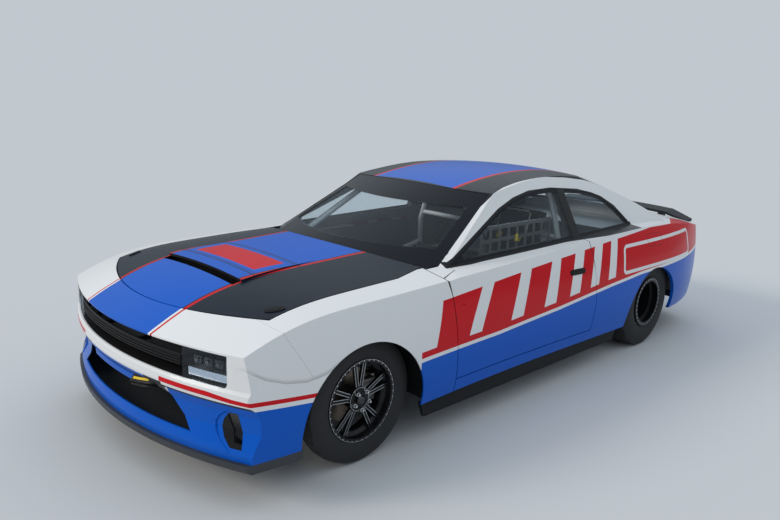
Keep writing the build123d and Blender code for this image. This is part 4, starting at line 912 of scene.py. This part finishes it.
NET_X = 0.640
NET_FRONT, NET_REAR = -0.44, 0.34
NET_LOW, NET_HIGH = 0.76, 1.10
NET_UPRIGHTS, NET_ROWS = 9, 5
NET_WEB = (0.025, 0.002)


def window_net():
    """A net of flat webbing between two rods, with its yellow tags and red latch."""
    net, rods, tags, latch = Form(), Form(), Form(), Form()
    for k in range(NET_UPRIGHTS):
        y = NET_FRONT + (NET_REAR - NET_FRONT) * k / (NET_UPRIGHTS - 1)
        net.strap([(NET_X, y, NET_LOW), (NET_X + 0.004, y, (NET_LOW + NET_HIGH) / 2),
                   (NET_X, y, NET_HIGH + 0.01)], (0, 1, 0), *NET_WEB)
    for k in range(NET_ROWS):
        z = NET_LOW + (NET_HIGH - NET_LOW) * k / (NET_ROWS - 1)
        net.strap([(NET_X + 0.003, NET_FRONT - 0.012, z), (NET_X + 0.005, 0, z),
                   (NET_X + 0.003, NET_REAR + 0.012, z)], (0, 0, 1), *NET_WEB)
    net.add("window_net", grey_web, slot="seat_shell")
    rod_x, rod_radius = NET_X - 0.004, 0.006
    rods.tube([(0.615, -0.532, 1.115), (rod_x, NET_FRONT, 1.110), (rod_x, NET_REAR, 1.110),
               (0.623, 0.42, 1.115)], rod_radius)
    rods.tube([(0.695, 0.42, 0.765), (rod_x, NET_REAR, NET_LOW), (rod_x, NET_FRONT, NET_LOW),
               (0.700, -0.85, 0.765)], rod_radius)
    rods.add("net_rods", steel, slot="cage_paint")
    tags.box((0.644, -0.075, 0.985), (0.650, -0.045, 1.035), 0.002)
    tags.box((0.644, -0.06, 0.90), (0.650, -0.04, 0.935), 0.002)
    tags.add("net_tags", yellow, slot="seat_shell")
    latch.cylinder((0.618, -0.50, 1.105), (0.650, -0.47, 1.105), 0.016, 16)
    latch.box((0.612, -0.485, 1.095), (0.655, -0.455, 1.130), 0.004)
    latch.add("net_latch", red_part, slot="seat_shell")


def on_nose(x, radius):
    """The y of a point at a distance from the axis that the nose is bowed about."""
    return NOSE_AXIS_Y - math.sqrt(radius * radius - x * x)


# The lamps' four modules: their x along the bow, its radius, height, half size and depth
LAMP_XS = (0.615, 0.675, 0.735, 0.790)
LAMP_RADIUS = 2.168
LAMP_Z = 0.690
LAMP_HALF = (0.023, 0.019)
LAMP_DEPTH = 0.03


def lamp_pieces():
    """Dark square modules behind the lamp covers, with a small round lens on each."""
    modules, lenses = Form(), Form()
    half_width, half_height = LAMP_HALF
    for x in LAMP_XS:
        y = on_nose(x, LAMP_RADIUS)
        base = Vector((x, y, LAMP_Z))
        out = Vector((x, y - NOSE_AXIS_Y, 0)).normalized()
        across = Vector((-out.y, out.x, 0)) * half_width
        up = Vector((0, 0, half_height))
        modules.skin([[base - out * depth + across * u + up * w
                       for u, w in ((-1, -1), (1, -1), (1, 1), (-1, 1))]
                      for depth in (0.0, LAMP_DEPTH)])
        lenses.cylinder(base - out * 0.002, base + out * 0.010, 0.014, 24, 0.009)
    modules.mirror().add("lamp_modules", gloss)
    lens_glass = plain("lens_glass", (0.05, 0.055, 0.06), 0.08, Coat_Weight=1.0)
    lenses.mirror().add("lamp_lenses", lens_glass, slot="steel")


def hood_pieces():
    """The mesh in the scoop's slot and two oval latches, all on the hood."""
    wires = Form()
    half = 0.001
    uprights, first_x, pitch_x, upright_y, low, high = 45, -0.352, 0.016, -2.0695, 0.906, 0.965
    levels, first_z, pitch_z, level_y, reach = 4, 0.915, 0.013, -2.0705, 0.362
    for k in range(uprights):
        x = first_x + k * pitch_x
        wires.box((x - half, upright_y - half, low), (x + half, upright_y + half, high))
    for k in range(levels):
        z = first_z + k * pitch_z
        wires.box((-reach, level_y - half, z - half), (reach, level_y + half, z + half))
    wires.add("scoop_mesh", satin, "hood")
    latches = Form()
    half_length, half_breadth = 0.052, 0.024
    for side in (-1, 1):
        centre = Vector((side * 0.735, -2.130, 0.8985))
        u = Vector((side * 0.45, 0.85, 0.12)).normalized()
        n = Vector((side * 0.155, -0.22, 0.96)).normalized()
        w = n.cross(u).normalized()
        for grow, lift in ((1.0, 0.0022), (0.62, 0.0040)):
            latches.plate([centre + u * (half_length * grow * math.cos(t))
                           + w * (half_breadth * grow * math.sin(t)) + n * lift
                           for t in turn_steps(32)], n)
    latches.add("hood_latches", satin, "hood")


# The tow strap comes out of the intake beside the blue strip and lies along it: x, distance
# from the bow's axis, z
TOW_ROUTE = [(0.385, 2.150, 0.520), (0.365, 2.185, 0.522), (0.330, 2.207, 0.520),
             (0.270, 2.216, 0.512), (0.215, 2.216, 0.503), (0.190, 2.213, 0.492),
             (0.196, 2.208, 0.480), (0.230, 2.206, 0.482), (0.290, 2.198, 0.490),
             (0.345, 2.170, 0.495)]
TOW_ACROSS = (0.05, -0.45, -0.55)
TOW_MARK_LIFT = 0.0022


def tow_strap():
    """Folded webbing with a yellow mark on its upper run."""
    route = [(x, on_nose(x, radius), z) for x, radius, z in TOW_ROUTE]
    tow = Form().strap(route, TOW_ACROSS, 0.040, 0.004)
    tow.add("tow_strap", satin)
    upper_run = [(x, on_nose(x, radius + TOW_MARK_LIFT), z + TOW_MARK_LIFT)
                 for x, radius, z in TOW_ROUTE[2:5]]
    mark = Form().strap(upper_run, TOW_ACROSS, 0.012, 0.002)
    mark.add("tow_strap_mark", yellow)


STRIP_LOW, STRIP_HIGH, STRIP_STEPS = 0.4715, 0.506, 36
VENT_RIM = [(0.812, -2.424, 0.496), (0.780, -2.438, 0.481), (0.746, -2.447, 0.453),
            (0.724, -2.453, 0.400), (0.753, -2.456, 0.344), (0.809, -2.449, 0.300),
            (0.830, -2.436, 0.290)]


def nose_trim():
    """The blue strip at the top of the intake, and the rims of the corner vents."""
    section = ((2.196, STRIP_LOW), (2.200, STRIP_HIGH), (2.186, STRIP_HIGH), (2.186, STRIP_LOW))
    places = [-INTAKE_STRIP_HALF + 2 * INTAKE_STRIP_HALF * k / STRIP_STEPS
              for k in range(STRIP_STEPS + 1)]
    strip = Form().skin([[(x, on_nose(x, radius), z) for radius, z in section] for x in places])
    strip.add("intake_upper_strip", blue_part, slot="paint")
    rims = Form().tube(smooth_path(VENT_RIM), 0.0075).mirror()
    rims.add("vent_rims", blue_part, slot="paint")


def door_pulls_and_pocket_shade():
    """Two flat rounded black plates on each door, the smaller one on top: a flush handle, and round
    it the pocket, whose black is painted shade.
    """
    for end, side in reversed(SIDES):
        pulls = Form()
        centre = Vector((side * 0.967, 0.245, 0.790))
        u = Vector((side * 0.03, 1.0, -0.02)).normalized()
        n = Vector((side * 0.966, -0.03, 0.245)).normalized()
        w = n.cross(u).normalized()
        # The larger plate's black is painted shade of the pocket round the handle; the smaller
        # plate is the handle
        for half_u, half_w, lift in ((0.092, 0.020, 0.0015), (0.070, 0.013, 0.0035)):
            # The powers square off the ends of an ellipse
            pulls.plate([centre + u * half_u * math.copysign(abs(math.cos(t)) ** 0.35, math.cos(t))
                         + w * half_w * math.copysign(abs(math.sin(t)) ** 0.5, math.sin(t))
                         + n * lift for t in turn_steps(32)], n)
        pulls.add(f"door_pull_and_pocket_shade_{end}", satin, f"door_{end}")


def side_markers():
    """A red marker on each rear corner."""
    markers = Form().box((0.9700, 1.790, 0.350), (0.9850, 1.812, 0.450), 0.003)
    markers.mirror().add("side_markers", red_part, slot="red_lamp")


def dash_pieces():
    """The driver's display on its stalk, and a row of switches."""
    display, face, switches = Form(), Form(), Form()
    display.box((DRIVER - 0.085, -0.662, 0.898), (DRIVER + 0.085, -0.640, 0.985), 0.006)
    display.box((DRIVER - 0.012, -0.700, 0.880), (DRIVER + 0.012, -0.655, 0.930), 0.003)
    display.add("dash_display", satin, slot="dash_trim")
    face.box((DRIVER - 0.075, -0.641, 0.908), (DRIVER + 0.075, -0.6385, 0.976), 0.001)
    face.add("dash_display_face", plain("display_face", (0.02, 0.025, 0.035), 0.1, Coat_Weight=0.5),
             slot="dash_trim")
    for k in range(8):
        x = -0.20 + k * 0.045
        switches.cylinder((x, -0.640, 0.862), (x, -0.618, 0.868), 0.008, 16)
    switches.add("dash_switches", red_part, slot="dash_trim")


def control_pieces():
    """The shifter on its box, and three hanging pedals."""
    shifter, pedals = Form(), Form()
    shifter.tube([(0.06, -0.30, 0.42), (0.06, -0.30, 0.52), (0.065, -0.28, 0.66),
                  (0.07, -0.26, 0.74)], 0.009)
    shifter.cylinder((0.07, -0.26, 0.735), (0.073, -0.25, 0.785), 0.020, 24, 0.016)
    shifter.box((0.00, -0.42, 0.419), (0.12, -0.20, 0.47), 0.01)
    shifter.add("shifter", satin, slot="dash_trim")
    for x in (0.26, 0.34, 0.46):
        pedals.box((x - 0.03, -0.845, 0.36), (x + 0.03, -0.83, 0.46), 0.006)
        pedals.tube([(x, -0.84, 0.44), (x, -0.87, 0.55), (x, -0.90, 0.703)], 0.008)
    pedals.add("pedals", steel, slot="steel")


# The fire bottle lies across the floor behind the seat
BOTTLE_Y, BOTTLE_Z, BOTTLE_RADIUS, NECK_RADIUS = 0.62, 0.50, 0.062, 0.03


def fire_bottle():
    """A bottle with tapered ends in two banded blocks."""
    bottle, cradle = Form(), Form()
    for x0, x1, r0, r1 in ((-0.10, 0.18, BOTTLE_RADIUS, BOTTLE_RADIUS),
                           (0.18, 0.205, BOTTLE_RADIUS, NECK_RADIUS),
                           (-0.125, -0.10, NECK_RADIUS, BOTTLE_RADIUS)):
        bottle.cylinder((x0, BOTTLE_Y, BOTTLE_Z), (x1, BOTTLE_Y, BOTTLE_Z), r0, 40, r1)
    bottle.add("fire_bottle", red_part, slot="seat_shell")
    for x in (-0.05, 0.13):
        cradle.box((x - 0.012, 0.555, 0.4205), (x + 0.012, 0.685, 0.450), 0.003)
        band = flat_ring(x - 0.01, x + 0.01, BOTTLE_RADIUS + 0.0005, BOTTLE_RADIUS + 0.0025)
        cradle.turned(band, (0, BOTTLE_Y, BOTTLE_Z), 40)
    cradle.add("fire_bottle_cradle", satin, slot="dash_trim")


seat_pieces()
window_net()
lamp_pieces()
hood_pieces()
tow_strap()
door_pulls_and_pocket_shade()
nose_trim()
side_markers()
dash_pieces()
control_pieces()
fire_bottle()


# Floor, light and camera
FLOOR = (0.60, 0.61, 0.62)
BACKDROP = (0.533, 0.578, 0.624)
SKY = (0.82, 0.91, 1.0)
SUNLIGHT = (1.0, 0.92, 0.82)
# The camera solved from the photograph: its place, angles and focal length in pixels
EYE = (3.4577, -4.0915, 1.9316)
YAW, PITCH, ROLL = -0.7840, -0.2273, 0.0438
FOCAL_PIXELS, PHOTO_WIDTH = 720.47, 780
SENSOR_WIDTH = 36


def floor():
    mesh = bpy.data.meshes.new("floor")
    bm = bmesh.new()
    bmesh.ops.create_grid(bm, x_segments=1, y_segments=1, size=400)
    bm.to_mesh(mesh)
    bm.free()
    mesh.materials.append(Paint("floor_pale", FLOOR, 0.9, Specular_IOR_Level=0.0).mat)
    link("floor", mesh)


def world():
    """Soft light from all round. The camera sees a plain backdrop of the floor's shade."""
    studio = bpy.data.worlds.new("studio")
    bpy.context.scene.world = studio
    studio.use_nodes = True
    tree = studio.node_tree
    light = tree.nodes["Background"]
    light.inputs["Color"].default_value = (*SKY, 1)
    coords = tree.nodes.new("ShaderNodeTexCoord")
    split = tree.nodes.new("ShaderNodeSeparateXYZ")
    tree.links.new(coords.outputs["Generated"], split.inputs[0])
    # Dim round the horizon and bright above, as over an open track
    height = Val(tree, split.outputs[2])
    strength = height.line([(-1.0, 0.27), (0.10, 0.27), (0.55, 0.90), (1.0, 0.95)])
    tree.links.new(strength.socket, light.inputs["Strength"])
    seen = tree.nodes.new("ShaderNodeBackground")
    seen.inputs["Color"].default_value = (*BACKDROP, 1)
    path = tree.nodes.new("ShaderNodeLightPath")
    by_camera = Val(tree, path.outputs["Is Camera Ray"])
    whole = mixed(tree, by_camera, light.outputs[0], seen.outputs[0])
    tree.links.new(whole, tree.nodes["World Output"].inputs[0])


def sun(direction, strength, angle, color):
    light = bpy.data.lights.new("key", "SUN")
    light.energy = strength
    light.angle = math.radians(angle)
    light.color = color
    link("key", light).rotation_euler = Vector(direction).to_track_quat("-Z", "Y").to_euler()


def camera():
    forward = Vector((math.sin(YAW) * math.cos(PITCH), math.cos(YAW) * math.cos(PITCH),
                      math.sin(PITCH)))
    level = forward.cross(Vector((0, 0, 1))).normalized()
    upright = level.cross(forward)
    right = level * math.cos(ROLL) + upright * math.sin(ROLL)
    up = upright * math.cos(ROLL) - level * math.sin(ROLL)
    cam = bpy.data.cameras.new("camera")
    cam.sensor_width = SENSOR_WIDTH
    cam.lens = FOCAL_PIXELS / PHOTO_WIDTH * SENSOR_WIDTH
    obj = link("camera", cam)
    obj.matrix_world = (Matrix.Translation(EYE)
                        @ Matrix((right, up, -forward)).transposed().to_4x4())
    bpy.context.scene.camera = obj


floor()
world()
sun((0.42, 0.78, -0.46), 1.35, 18, SUNLIGHT)
camera()
bpy.context.scene.view_settings.view_transform = "Standard"
